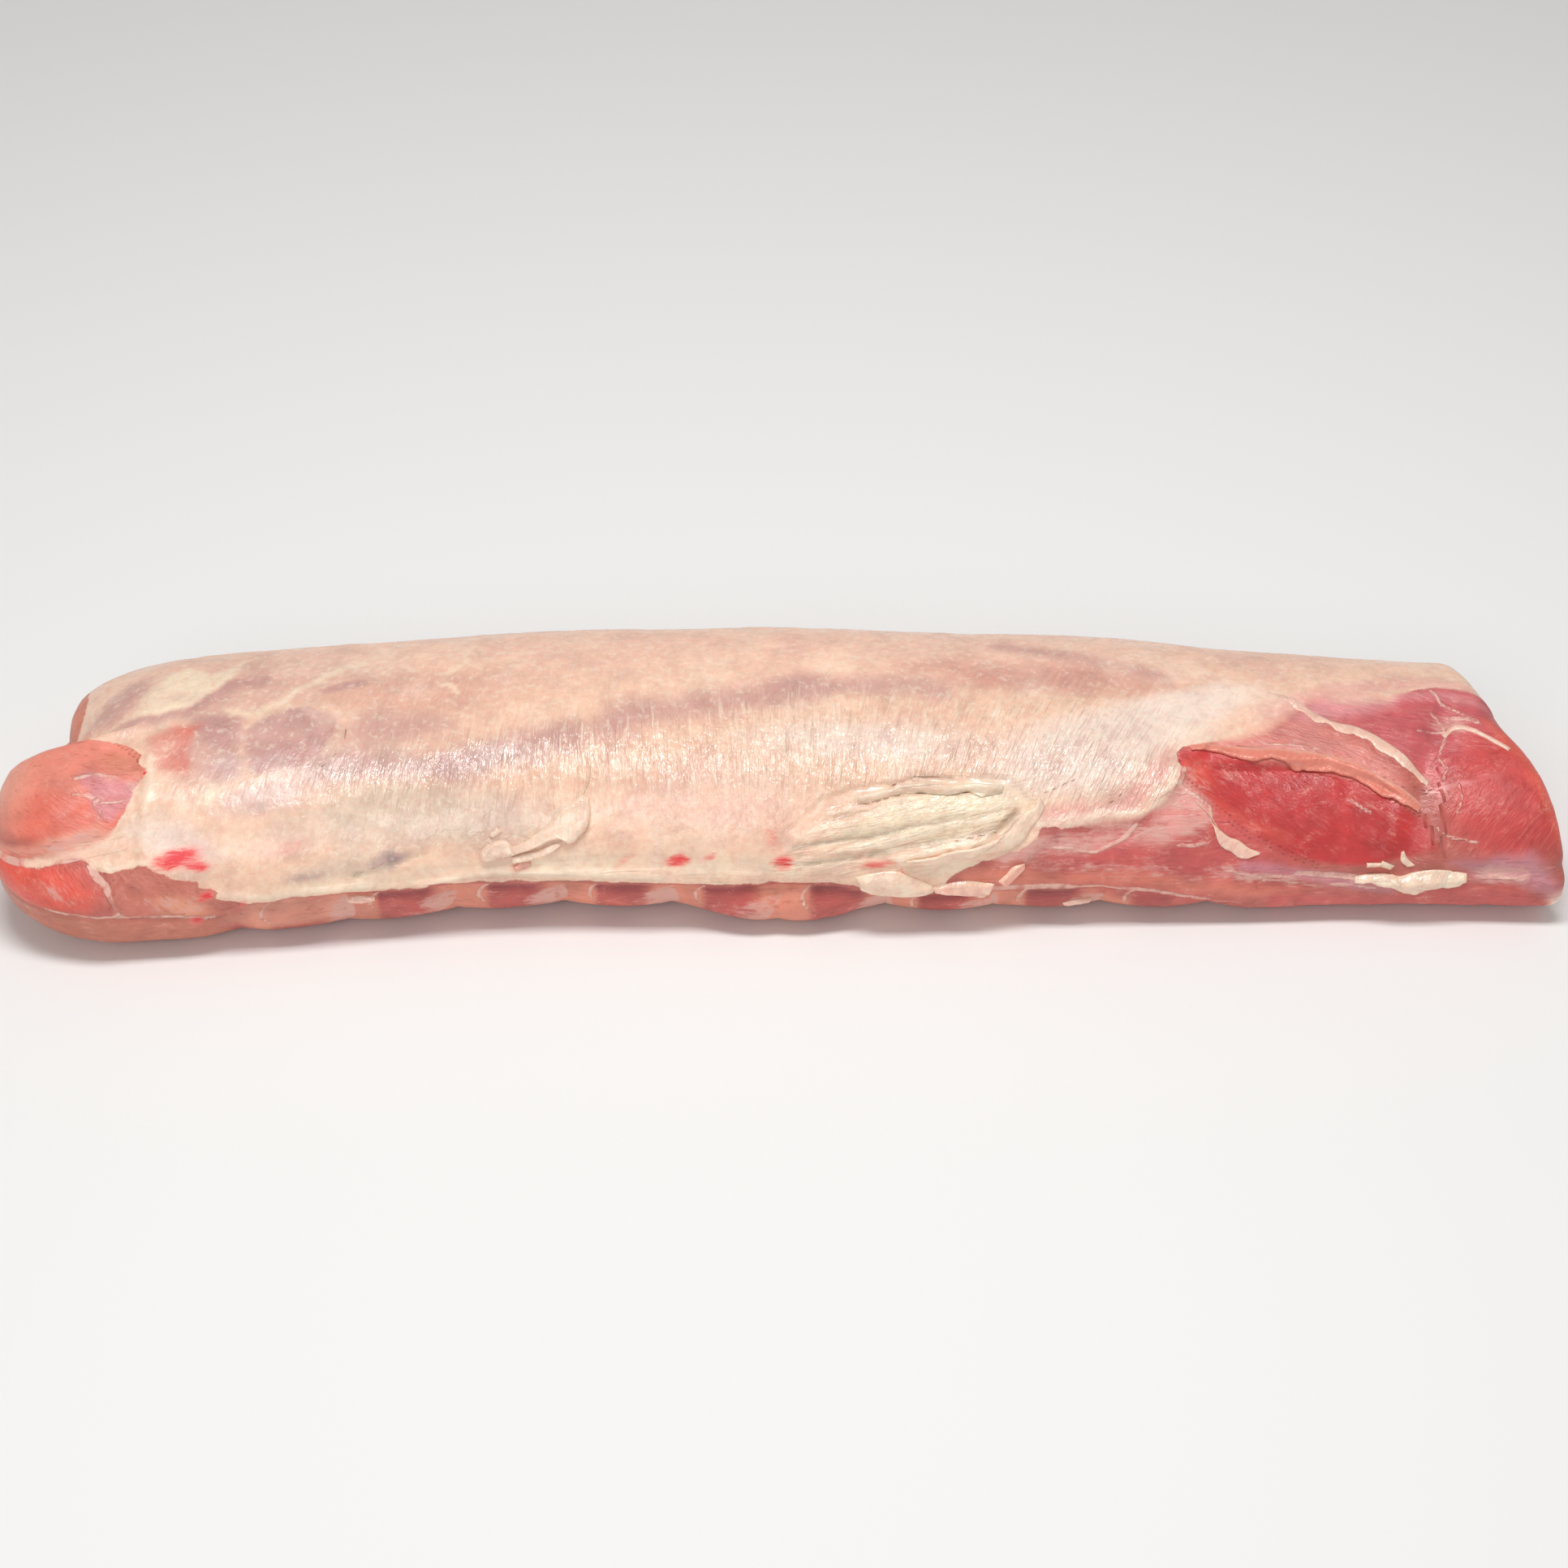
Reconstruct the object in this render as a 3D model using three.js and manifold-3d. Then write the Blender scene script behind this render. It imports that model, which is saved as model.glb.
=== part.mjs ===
// Whole boneless pork loin, lying fat side up: one solid with the relief of its fat cover, muscles and flaps.
// Millimetres, +Z up. The blade end is at -X and the sirloin end at +X. The rib side faces -Y, the chine side +Y.
import * as THREE from "three";
import { mergeVertices } from "three/addons/utils/BufferGeometryUtils.js";
import Module from "manifold-3d";

// Driving dimensions. The outline of the cross-section is given at stations along the loin.
const HALF_LENGTH = 305;
const STATION_X = [-305, -240, -180, -110, 0, 110, 200, 305];
const RIB_SIDE_Y = [-84, -79, -72, -65.5, -63.5, -62, -60.5, -60.5];
const CHINE_SIDE_Y = [45, 53, 58, 63, 66, 65, 56, 53];
const CROWN_Y = [-12, -8, -4, 0, 4, 4, 3, 2];
const CROWN_Z = [63, 68, 70, 72, 73, 69.5, 63, 57];
const LIP_Z = [20, 21, 22, 24, 25, 18, 14, 18];
const CHINE_Z = [28, 28, 29, 29, 30, 29, 27, 26];
const REST_DEPTH = 0.9; // what lies lower than this is pressed flat by the surface under it

// The cross-section is four superellipse quarters: roundness exponent and number of facets of each.
const QUARTERS = {
  ribTop: { power: 2.1, facets: 15 },
  chineTop: { power: 2.3, facets: 11 },
  chineLow: { power: 3.0, facets: 7 },
  ribLow: { power: 3.6, facets: 11 },
};
const QUARTER_SAMPLES = 120;

// The two ends: a face across the loin, rounded into the sides. The roundings are given round the girth,
// counted in quarters from the rib side: 1 is the crown, 2 the chine side and 3 the underside.
const BLADE_AXIS = { y: -22, z: 36 };
const BLADE_NEAR_X = -306;
const BLADE_FAR_X = -283; // the muscle on the chine side is cut shorter
const BLADE_STEP_WIDTH = 9;
const SIRLOIN_AXIS = { y: -6, z: 31 };
const SIRLOIN_X = 302.5;
const SIRLOIN_SLANT = 0.335; // the sirloin end is cut at a slant
const BLADE_ROUND = {
  at: [0, 0.5, 0.8, 1, 1.4, 2, 2.5, 3, 3.5, 4],
  axial: [46, 26, 24, 38, 48, 30, 14, 16, 50, 46],
  radial: [32, 29, 24, 24, 26, 20, 12, 14, 34, 32],
};
const SIRLOIN_ROUND = {
  at: [0, 1, 1.6, 2, 3, 4],
  axial: [7, 10, 6, 6, 6, 7],
  radial: [7, 11, 7, 7, 6, 7],
};
const BODY_ROWS = 84;
const ROUND_ROWS = 5;
const FACE_ROWS = 5;

// Relief. A place on the surface is (x, v): v is the arc length from the lip on the rib side, up over the crown.
const FAT_EDGE_X = [-222, -205, -181, -130, -73, -39, 20, 36, 66, 115, 141, 162, 185];
const FAT_EDGE_V = [8, 4, 5, 4, 1, 0, 1, -3, 0, 4, 3, -2, -2];
const RIB_STRIP = { from: -226, to: 182, step: 3, depth: 34, lobe: 2.6, tip: -128, pitch: 41.5 };
const HANGING_FLAP = { x: -3, v: -15, halfLength: 40, halfWidth: 15, height: 6.5 };
const CHINE_EDGE = { v: 168, step: 2 };
const BLADE_FAT_EDGE = { x: -246, slope: 0.9, v: 24, step: 1.6 };
const LOWER_MUSCLE = { x: -276, v: 10, halfLength: 38, halfWidth: 18, height: 3 };
const FACE_MUSCLE = { x: -276, v: 55, halfLength: 34, halfWidth: 26, height: 2.4 };
const LEAN_EDGE_X = [77, 96, 106, 133, 149, 166, 196, 216, 300];
const LEAN_EDGE_V = [0, 22, 29, 33, 47, 71, 88, 92, 92];
const LEAN_STEP = 1.3;
const POCKET_X = [152, 165, 183, 209, 227, 243];
const POCKET_TOP = [60, 57, 58, 59, 51, 38];
const POCKET_FOOT = [53, 38, 22, 16, 15, 30];
const POCKET_DEPTH = 3.2;
const END_MUSCLE = { x: 280, v: 42, halfLength: 30, halfWidth: 40, height: 2.6 };
const FOLDS = { x: 52, v: 27, halfLength: 70, halfWidth: 20, height: 1.1, rise: 0.26, pitch: 18 };
const GROOVES = [
  { path: [[-240, 40], [-263, 31], [-304, 20]], width: 8, depth: 3.2 },
  { path: [[-262, 88], [-276, 84], [-296, 80]], width: 8, depth: 2.6 },
  { path: [[256, 78], [247, 58], [243, 38], [238, 18]], width: 9, depth: 2 },
  { path: [[186, 7], [240, 10], [298, 8]], width: 7, depth: 1.6 },
];
const WAVES = [
  { along: 47, round: 61, height: 0.9, shift: 0.4 },
  { along: 29, round: -37, height: 0.5, shift: 2.1 },
  { along: 17, round: 83, height: 0.3, shift: 4.0 },
];

// Flaps, strands and lumps of fat that stand up from the surface: a centre line, half width and height of each.
const FLAPS = [
  { path: [[-94, 17], [-90, 27], [-86, 36], [-91, 50]], halfWidth: 8, tipWidth: 1.5, height: 2.4 },
  { path: [[-120, 15], [-110, 19], [-100, 25]], halfWidth: 4.5, tipWidth: 2, height: 2 },
  { path: [[23, 3], [37, 5], [52, 2]], halfWidth: 5, tipWidth: 2, height: 2.8 },
  { path: [[100, 39], [91, 27], [78, 17], [58, 15]], halfWidth: 3.5, tipWidth: 1.5, height: 2.2 },
  { path: [[60, 6], [68, 1], [76, -3]], halfWidth: 2.2, tipWidth: 1.2, height: 2.2 },
  { path: [[152, 62], [178, 59], [209, 60], [228, 52], [244, 38]], halfWidth: 3, tipWidth: 1.2, height: 1.6 },
  { path: [[158, 39], [166, 28], [179, 21]], halfWidth: 3.4, tipWidth: 1, height: 1.8 },
  { path: [[196, 89], [210, 76], [228, 64], [243, 42]], halfWidth: 2, tipWidth: 1.2, height: 1.6 },
  { path: [[221, 7], [240, 5], [257, 7]], halfWidth: 4.5, tipWidth: 2, height: 2.4 },
];
const FLAP_STEPS = 8;
const FLAP_FACETS = 4;
const FLAP_ROOT = 2.5; // how deep a flap reaches into the loin

const FAT_COLOUR = "#e6c8b4";
const ROUGHNESS = 0.4;

// Small functions used below.
const clamp = (t, low, high) => Math.min(high, Math.max(low, t));

const smooth = (t) => {
  const s = clamp(t, 0, 1);
  return s * s * (3 - 2 * s);
};

// A round hill, 1 in the middle and 0 at the rim of an ellipse.
const hill = (x, v, spot) => {
  const r = Math.hypot((x - spot.x) / spot.halfLength, (v - spot.v) / spot.halfWidth);
  return smooth(1 - r);
};

// Smooth curve through the values at the given stations.
function curveThrough(at, values, x) {
  const last = at.length - 1;
  const p = clamp(x, at[0], at[last]);
  let i = 0;
  while (i < last - 1 && p > at[i + 1]) i += 1;
  const slope = (k) => {
    if (k === 0) return (values[1] - values[0]) / (at[1] - at[0]);
    if (k === last) return (values[last] - values[last - 1]) / (at[last] - at[last - 1]);
    const before = at[k] - at[k - 1];
    const after = at[k + 1] - at[k];
    const rise = (values[k + 1] - values[k]) / after;
    const run = (values[k] - values[k - 1]) / before;
    return (run * after + rise * before) / (before + after);
  };
  const h = at[i + 1] - at[i];
  const t = (p - at[i]) / h;
  const s = 1 - t;
  return (
    values[i] * s * s * (1 + 2 * t) +
    values[i + 1] * t * t * (1 + 2 * s) +
    h * t * s * (slope(i) * s - slope(i + 1) * t)
  );
}

// Straight lines through the values at the given stations.
function lineThrough(at, values, x) {
  const last = at.length - 1;
  const p = clamp(x, at[0], at[last]);
  let i = 0;
  while (i < last - 1 && p > at[i + 1]) i += 1;
  return THREE.MathUtils.mapLinear(p, at[i], at[i + 1], values[i], values[i + 1]);
}

// Distance from (x, v) to a path of [x, v] points.
function distanceToPath(x, v, path) {
  const point = new THREE.Vector3(x, v, 0);
  const nearest = new THREE.Vector3();
  let best = Infinity;
  for (let i = 1; i < path.length; i += 1) {
    const start = new THREE.Vector3(...path[i - 1], 0);
    const end = new THREE.Vector3(...path[i], 0);
    new THREE.Line3(start, end).closestPointToPoint(point, true, nearest);
    best = Math.min(best, nearest.distanceTo(point));
  }
  return best;
}

// The sizes of the cross-section at x.
function sectionAt(x) {
  const at = (values) => curveThrough(STATION_X, values, x);
  return {
    rib: at(RIB_SIDE_Y),
    chine: at(CHINE_SIDE_Y),
    crownY: at(CROWN_Y),
    crownZ: at(CROWN_Z),
    lipZ: at(LIP_Z),
    chineZ: at(CHINE_Z),
  };
}

// The point [y, z] of one quarter of a cross-section, t running from 0 to 1 round the girth.
function quarterPoint(section, quarter, t) {
  const { rib, chine, crownY, crownZ, lipZ, chineZ } = section;
  const angle = (t * Math.PI) / 2;
  const exponent = 2 / QUARTERS[quarter].power;
  const first = Math.max(0, Math.cos(angle)) ** exponent;
  const second = Math.max(0, Math.sin(angle)) ** exponent;
  if (quarter === "ribTop") return [crownY + (rib - crownY) * first, lipZ + (crownZ - lipZ) * second];
  if (quarter === "chineTop") return [crownY + (chine - crownY) * second, chineZ + (crownZ - chineZ) * first];
  if (quarter === "chineLow") return [crownY + (chine - crownY) * first, chineZ * (1 - second)];
  return [crownY + (rib - crownY) * second, lipZ * (1 - first)];
}

// The whole cross-section at x as a fine closed line, with its arc length v. The line starts at the underside.
function girthAt(x) {
  const section = sectionAt(x);
  const points = [];
  for (const quarter of ["ribLow", "ribTop", "chineTop", "chineLow"])
    for (let i = 0; i < QUARTER_SAMPLES; i += 1)
      points.push(quarterPoint(section, quarter, i / QUARTER_SAMPLES));
  points.push(quarterPoint(section, "chineLow", 1));
  const v = [0];
  for (let i = 1; i < points.length; i += 1) {
    const [y, z] = points[i];
    const [lastY, lastZ] = points[i - 1];
    v.push(v[i - 1] + Math.hypot(y - lastY, z - lastZ));
  }
  const lip = v[QUARTER_SAMPLES];
  return { points, v: v.map((length) => length - lip) };
}

// Arc length v of each facet corner round the girth, even within each quarter, from the rib side over the crown.
function cornersOf(girth) {
  const corners = [];
  ["ribTop", "chineTop", "chineLow", "ribLow"].forEach((quarter, order) => {
    const first = ((order + 1) % 4) * QUARTER_SAMPLES;
    const start = girth.v[first];
    const end = girth.v[first + QUARTER_SAMPLES];
    const { facets } = QUARTERS[quarter];
    for (let i = 0; i < facets; i += 1) corners.push(start + ((end - start) * i) / facets);
  });
  return corners;
}

// The point and outward normal of a girth at arc length v.
function pointOnGirth(girth, v) {
  let low = 0;
  let high = girth.v.length - 1;
  while (high - low > 1) {
    const middle = (low + high) >> 1;
    if (girth.v[middle] <= v) low = middle;
    else high = middle;
  }
  const t = clamp((v - girth.v[low]) / (girth.v[high] - girth.v[low]), 0, 1);
  const [y0, z0] = girth.points[low];
  const [y1, z1] = girth.points[high];
  const length = Math.hypot(y1 - y0, z1 - z0);
  return {
    y: y0 + (y1 - y0) * t,
    z: z0 + (z1 - z0) * t,
    normalY: -(z1 - z0) / length,
    normalZ: (y1 - y0) / length,
  };
}

// The strip of rib meat under the edge of the fat: set back, with one lobe between each two ribs.
function ribStripRelief(x, v) {
  const along = smooth((x - RIB_STRIP.from) / 12) * smooth((RIB_STRIP.to - x) / 16);
  const under = lineThrough(FAT_EDGE_X, FAT_EDGE_V, x) - v;
  const lobe = Math.abs(Math.sin((Math.PI * (x - RIB_STRIP.tip)) / RIB_STRIP.pitch)) ** 0.7;
  const fade = 1 - smooth((under - RIB_STRIP.depth / 2) / (RIB_STRIP.depth / 2));
  return along * smooth(under / 3) * fade * (RIB_STRIP.lobe * lobe - RIB_STRIP.step);
}

// The recess under the free edge of the thin muscle that covers the sirloin end.
function pocketRelief(x, v) {
  const top = lineThrough(POCKET_X, POCKET_TOP, x);
  const foot = lineThrough(POCKET_X, POCKET_FOOT, x);
  const share = (top - v) / (top - foot);
  const ends = smooth((x - POCKET_X[0]) / 14) * smooth((POCKET_X.at(-1) - x) / 12);
  return share > 0 && share < 1 ? -POCKET_DEPTH * ends * smooth(share * 8) * (1 - share) : 0;
}

// The fat over the blade end stops at a slanting edge.
function bladeEdgeRelief(x, v) {
  const edge = BLADE_FAT_EDGE.x - (v - BLADE_FAT_EDGE.v) * BLADE_FAT_EDGE.slope * (v < BLADE_FAT_EDGE.v ? -1 : 0);
  const bare = smooth((edge - x) / 5 + 0.5) * smooth((84 - v) / 6);
  return -BLADE_FAT_EDGE.step * bare;
}

// The fat over the sirloin end is trimmed to the lean below this line.
function leanRelief(x, v) {
  const edge = lineThrough(LEAN_EDGE_X, LEAN_EDGE_V, x);
  return -LEAN_STEP * smooth((edge - v) / 5) * smooth((x - LEAN_EDGE_X[0]) / 14);
}

// Oblique folds of the loose fat beside the lean.
function foldRelief(x, v) {
  const phase = (v - FOLDS.v - (x - FOLDS.x) * FOLDS.rise) / FOLDS.pitch;
  return FOLDS.height * Math.sin(2 * Math.PI * phase) * hill(x, v, FOLDS);
}

// Height of the real surface over the plain cross-section at (x, v).
function reliefAt(x, v) {
  let height = ribStripRelief(x, v) + pocketRelief(x, v) + bladeEdgeRelief(x, v);
  height += leanRelief(x, v) + foldRelief(x, v);
  height -= CHINE_EDGE.step * smooth((v - CHINE_EDGE.v) / 4) * smooth((CHINE_EDGE.v + 40 - v) / 12);
  for (const spot of [HANGING_FLAP, LOWER_MUSCLE, FACE_MUSCLE, END_MUSCLE]) height += spot.height * hill(x, v, spot);
  for (const groove of GROOVES)
    height -= groove.depth * smooth(1 - distanceToPath(x, v, groove.path) / groove.width);
  return height;
}

// Long, low waves over the whole loin. They depend on the place in space, so they close round the girth.
function wavesAt(x, y, z) {
  const round = y + z;
  return WAVES.reduce(
    (sum, { along, round: girth, height, shift }) =>
      sum + height * Math.sin(x / along + shift) * Math.cos(round / girth + shift * 2),
    0,
  );
}

// The surface point at (x, v), raised by some height over the real surface.
function surfacePoint(x, v, raise = 0) {
  const { y, z, normalY, normalZ } = pointOnGirth(girthAt(x), v);
  const height = raise + reliefAt(x, v) + wavesAt(x, y, z);
  return new THREE.Vector3(x, y + normalY * height, z + normalZ * height);
}

// Where the two end faces lie.
function bladeFaceX({ y, z }) {
  const step = smooth((y - BLADE_AXIS.y) / BLADE_STEP_WIDTH + 0.5) * smooth((z - 6) / 22);
  return THREE.MathUtils.lerp(BLADE_NEAR_X, BLADE_FAR_X, step) + 1.2 * Math.sin(y / 11) * Math.sin(z / 13 + 1);
}

function sirloinFaceX({ y, z }) {
  return SIRLOIN_X - SIRLOIN_SLANT * (y - RIB_SIDE_Y.at(-1)) + 1.2 * Math.sin(y / 13 + 1) * Math.sin(z / 12);
}

// Rows of points from the middle of one end face out to the start of the body.
function endRows(faceX, axis, rounding, side) {
  const start = side * (HALF_LENGTH - 25);
  const base = cornersOf(girthAt(start));
  const quarterOf = Object.values(QUARTERS).flatMap(({ facets }, order) =>
    Array.from({ length: facets }, (_, i) => order + i / facets),
  );
  const rows = Array.from({ length: FACE_ROWS + ROUND_ROWS }, () => []);
  base.forEach((v, corner) => {
    const axial = lineThrough(rounding.at, rounding.axial, quarterOf[corner]);
    const radial = lineThrough(rounding.at, rounding.radial, quarterOf[corner]);
    const rim = surfacePoint(start, v);
    const reach = Math.hypot(rim.y - axis.y, rim.z - axis.z);
    const towards = (point, share, back) => {
      const y = axis.y + (point.y - axis.y) * share;
      const z = axis.z + (point.z - axis.z) * share;
      return new THREE.Vector3(faceX({ y, z }) - side * back, y, z);
    };
    for (let i = 1; i <= FACE_ROWS; i += 1)
      rows[i - 1].push(towards(rim, ((1 - radial / reach) * i) / FACE_ROWS, 0));
    for (let i = 1; i <= ROUND_ROWS; i += 1) {
      const angle = ((Math.PI / 2) * i) / ROUND_ROWS;
      const share = 1 - (radial / reach) * (1 - Math.sin(angle));
      const back = axial * (1 - Math.cos(angle));
      const { x } = towards(rim, share, back);
      const girth = girthAt(x);
      const skin = surfacePoint(x, cornersOf(girth)[corner]);
      rows[FACE_ROWS + i - 1].push(towards(skin, share, back));
    }
  });
  return rows;
}

// Rows of points from the blade end to the sirloin end.
function bodyRows(bladeRim, sirloinRim) {
  const mean = (rim) => rim.reduce((sum, { x }) => sum + x, 0) / rim.length;
  const bladeX = mean(bladeRim);
  const sirloinX = mean(sirloinRim);
  const rows = [];
  for (let row = 1; row < BODY_ROWS; row += 1) {
    const share = row / BODY_ROWS;
    const bladeShare = Math.max(0, 1 - share / 0.2) ** 2;
    const sirloinShare = Math.max(0, 1 - (1 - share) / 0.3) ** 2;
    rows.push(
      bladeRim.map((_, corner) => {
        const even = THREE.MathUtils.lerp(bladeX, sirloinX, share);
        const fromBlade = (bladeRim[corner].x - bladeX) * bladeShare;
        const x = even + fromBlade + (sirloinRim[corner].x - sirloinX) * sirloinShare;
        return surfacePoint(x, cornersOf(girthAt(x))[corner]);
      }),
    );
  }
  return rows;
}

// A closed geometry from rings of points between two poles.
function closedSurface(firstPole, rings, lastPole) {
  const around = rings[0].length;
  const points = [firstPole, ...rings.flat(), lastPole];
  const index = [];
  const at = (ring, corner) => 1 + ring * around + (corner % around);
  for (let corner = 0; corner < around; corner += 1) {
    index.push(0, at(0, corner), at(0, corner + 1));
    index.push(points.length - 1, at(rings.length - 1, corner + 1), at(rings.length - 1, corner));
    for (let ring = 0; ring + 1 < rings.length; ring += 1) {
      index.push(at(ring, corner), at(ring + 1, corner), at(ring + 1, corner + 1));
      index.push(at(ring, corner), at(ring + 1, corner + 1), at(ring, corner + 1));
    }
  }
  const geometry = new THREE.BufferGeometry().setFromPoints(points);
  geometry.setIndex(index);
  return geometry;
}

// What lies lower than the rest depth is pressed flat on z = 0.
function pressFlat(point) {
  return new THREE.Vector3(point.x, point.y, point.z < REST_DEPTH ? 0 : point.z);
}

function loinBody() {
  const blade = endRows(bladeFaceX, BLADE_AXIS, BLADE_ROUND, -1);
  const sirloin = endRows(sirloinFaceX, SIRLOIN_AXIS, SIRLOIN_ROUND, 1);
  const rings = [...blade, ...bodyRows(blade.at(-1), sirloin.at(-1)), ...sirloin.reverse()];
  const bladePole = new THREE.Vector3(bladeFaceX(BLADE_AXIS), BLADE_AXIS.y, BLADE_AXIS.z);
  const sirloinPole = new THREE.Vector3(sirloinFaceX(SIRLOIN_AXIS), SIRLOIN_AXIS.y, SIRLOIN_AXIS.z);
  return closedSurface(bladePole, rings.map((ring) => ring.map(pressFlat)), sirloinPole);
}

// A flap of fat along its centre line: rings across it, thick in the middle and thin at both rims.
function flapBody({ path, halfWidth, tipWidth, height }) {
  const line = new THREE.CatmullRomCurve3(path.map(([x, v]) => new THREE.Vector3(x, v, 0)));
  const rings = [];
  for (let step = 0; step <= FLAP_STEPS; step += 1) {
    const t = step / FLAP_STEPS;
    const middle = line.getPointAt(t);
    const along = line.getTangentAt(t);
    const full = Math.sin(Math.PI * t) ** 0.5;
    const width = tipWidth + (halfWidth - tipWidth) * full;
    const ring = [];
    const place = (across, raise) =>
      ring.push(surfacePoint(middle.x - along.y * across, middle.y + along.x * across, raise));
    for (let i = 0; i <= FLAP_FACETS; i += 1) {
      const across = (2 * i) / FLAP_FACETS - 1;
      place(width * across, height * (0.35 + 0.65 * full) * (1 - 0.55 * across * across));
    }
    for (let i = FLAP_FACETS; i >= 0; i -= FLAP_FACETS / 2)
      place(width * 0.8 * ((2 * i) / FLAP_FACETS - 1), -FLAP_ROOT);
    rings.push(ring);
  }
  const middleOf = (ring) =>
    ring.reduce((sum, point) => sum.add(point), new THREE.Vector3()).divideScalar(ring.length);
  return closedSurface(middleOf(rings[0]), rings, middleOf(rings.at(-1)));
}

const wasm = await Module();
wasm.setup();

// A closed geometry as a solid, turned to face outwards.
function solidOf(geometry) {
  const merged = mergeVertices(geometry, 1e-3);
  const vertProperties = merged.attributes.position.array;
  const triVerts = new Uint32Array(merged.index.array);
  const solid = new wasm.Manifold(new wasm.Mesh({ numProp: 3, vertProperties, triVerts }));
  if (solid.volume() > 0) return solid;
  triVerts.reverse();
  return new wasm.Manifold(new wasm.Mesh({ numProp: 3, vertProperties, triVerts }));
}

function geometryOf(solid) {
  const { vertProperties, triVerts } = solid.getMesh();
  const geometry = new THREE.BufferGeometry();
  geometry.setAttribute("position", new THREE.BufferAttribute(vertProperties, 3));
  geometry.setIndex(new THREE.BufferAttribute(triVerts, 1));
  geometry.computeVertexNormals();
  return geometry;
}

function makeLoin() {
  let solid = solidOf(loinBody());
  for (const flap of FLAPS) solid = solid.add(solidOf(flapBody(flap)));
  const material = new THREE.MeshStandardMaterial({ color: FAT_COLOUR, roughness: ROUGHNESS, metalness: 0 });
  const mesh = new THREE.Mesh(geometryOf(solid), material);
  mesh.name = "pork_loin";
  return mesh;
}

// The origin is under the middle of the loin's box, on the surface that it lies on.
const loin = new THREE.Group();
const mesh = makeLoin();
const middle = new THREE.Box3().setFromObject(mesh).getCenter(new THREE.Vector3());
mesh.position.set(-middle.x, -middle.y, 0);
loin.add(mesh);

export default loin;
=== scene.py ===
"""The looks of a whole boneless pork loin that lies fat side up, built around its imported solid.

Sizes are in millimetres in the section's own coordinates, as the solid is drawn: +X along the loin from the
blade end to the sirloin end, -Y on the rib side, +Z up. Meshes are moved to the frame's origin and scaled to
metres when they are made. A place on the skin is (x, v): v is the arc length round the girth, 0 at the edge
of the fat on the rib side, positive up over the crown and negative underneath.
"""

import logging
import math
from dataclasses import dataclass
from enum import Enum
from typing import Callable, Iterator, Sequence

import bpy
import numpy as np
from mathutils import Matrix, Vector


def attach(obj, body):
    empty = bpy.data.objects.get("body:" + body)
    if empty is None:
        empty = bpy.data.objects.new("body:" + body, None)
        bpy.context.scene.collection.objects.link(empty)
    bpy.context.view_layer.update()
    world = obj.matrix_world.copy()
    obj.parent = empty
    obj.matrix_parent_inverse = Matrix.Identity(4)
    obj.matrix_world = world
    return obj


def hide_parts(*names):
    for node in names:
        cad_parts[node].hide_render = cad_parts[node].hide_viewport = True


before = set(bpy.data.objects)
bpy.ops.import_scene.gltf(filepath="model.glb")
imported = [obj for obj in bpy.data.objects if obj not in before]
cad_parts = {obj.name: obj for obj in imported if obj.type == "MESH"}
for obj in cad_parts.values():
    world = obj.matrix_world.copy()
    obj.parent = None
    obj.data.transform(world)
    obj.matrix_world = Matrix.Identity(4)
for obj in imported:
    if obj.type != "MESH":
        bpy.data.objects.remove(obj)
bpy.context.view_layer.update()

LOG = logging.getLogger("pork_loin")
BODY = "root"
NODE = "pork_loin"

MM = 0.001
ORIGIN = (-3.2, -8.7, 0.0)  # the middle of the loin's box, in the section's own coordinates

PLACES = ("flow", "grain")  # the values of a vertex that are places on the skin

Array = np.ndarray
Path = Sequence[tuple[float, float]]
Colour = tuple[float, float, float]
Row = tuple[float, ...]
Pair = tuple[float, float]
Triple = tuple[float, float, float]
Span = Pair  # where a ramp is 0, and where it is 1
Piece = bpy.types.Object
Material = bpy.types.Material
Node = bpy.types.Node
Tree = bpy.types.NodeTree
Socket = bpy.types.NodeSocket


# Small functions


def smooth(t: Array) -> Array:
    """Smooth step of t from 0 to 1."""
    s = np.clip(t, 0.0, 1.0)
    return s * s * (3.0 - 2.0 * s)


def rise(values: Array, span: Span) -> Array:
    """Smooth step from 0 at the span's first value to 1 at its second, which may be the lower one."""
    return smooth((values - span[0]) / (span[1] - span[0]))


def turned(a: Array, b: Array, angle: Array | float) -> tuple[Array, Array]:
    """Two coordinates seen from axes that are turned by an angle in degrees."""
    cosine, sine = np.cos(np.radians(angle)), np.sin(np.radians(angle))
    return a * cosine + b * sine, b * cosine - a * sine


def mixed(a: Array, b: Array, share: Array) -> Array:
    """Colours a with a share of colours b laid over them."""
    share = np.reshape(share, (-1, 1))
    return a * (1 - share) + b * share


def linear(colour: Colour) -> Array:
    """A colour of 0 to 255 in sRGB as linear light of 0 to 1."""
    c = np.asarray(colour, float) / 255.0
    return np.where(c <= 0.04045, c / 12.92, ((c + 0.055) / 1.055) ** 2.4)


def rgba(colour: Colour) -> tuple[float, float, float, float]:
    """An sRGB colour of 0 to 255 as a linear shader colour with alpha 1."""
    red, green, blue = (float(c) for c in linear(colour))
    return red, green, blue, 1.0


def curve_through(at: Sequence[float], values: Sequence[float], x: Array) -> Array:
    """A smooth curve through values at stations.

    Args:
        at: the stations, rising.
        values: the value at each station.
        x: where the curve is read.

    Returns:
        The curve's values, held at both ends.
    """
    stations, heights = np.asarray(at, float), np.asarray(values, float)
    slopes = np.gradient(heights, stations)
    p = np.clip(x, stations[0], stations[-1])
    i = np.clip(np.searchsorted(stations, p) - 1, 0, len(stations) - 2)
    step = stations[i + 1] - stations[i]
    t = (p - stations[i]) / step
    s = 1.0 - t
    ends = heights[i] * s * s * (1 + 2 * t) + heights[i + 1] * t * t * (1 + 2 * s)
    return ends + step * t * s * (slopes[i] * s - slopes[i + 1] * t)


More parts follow.
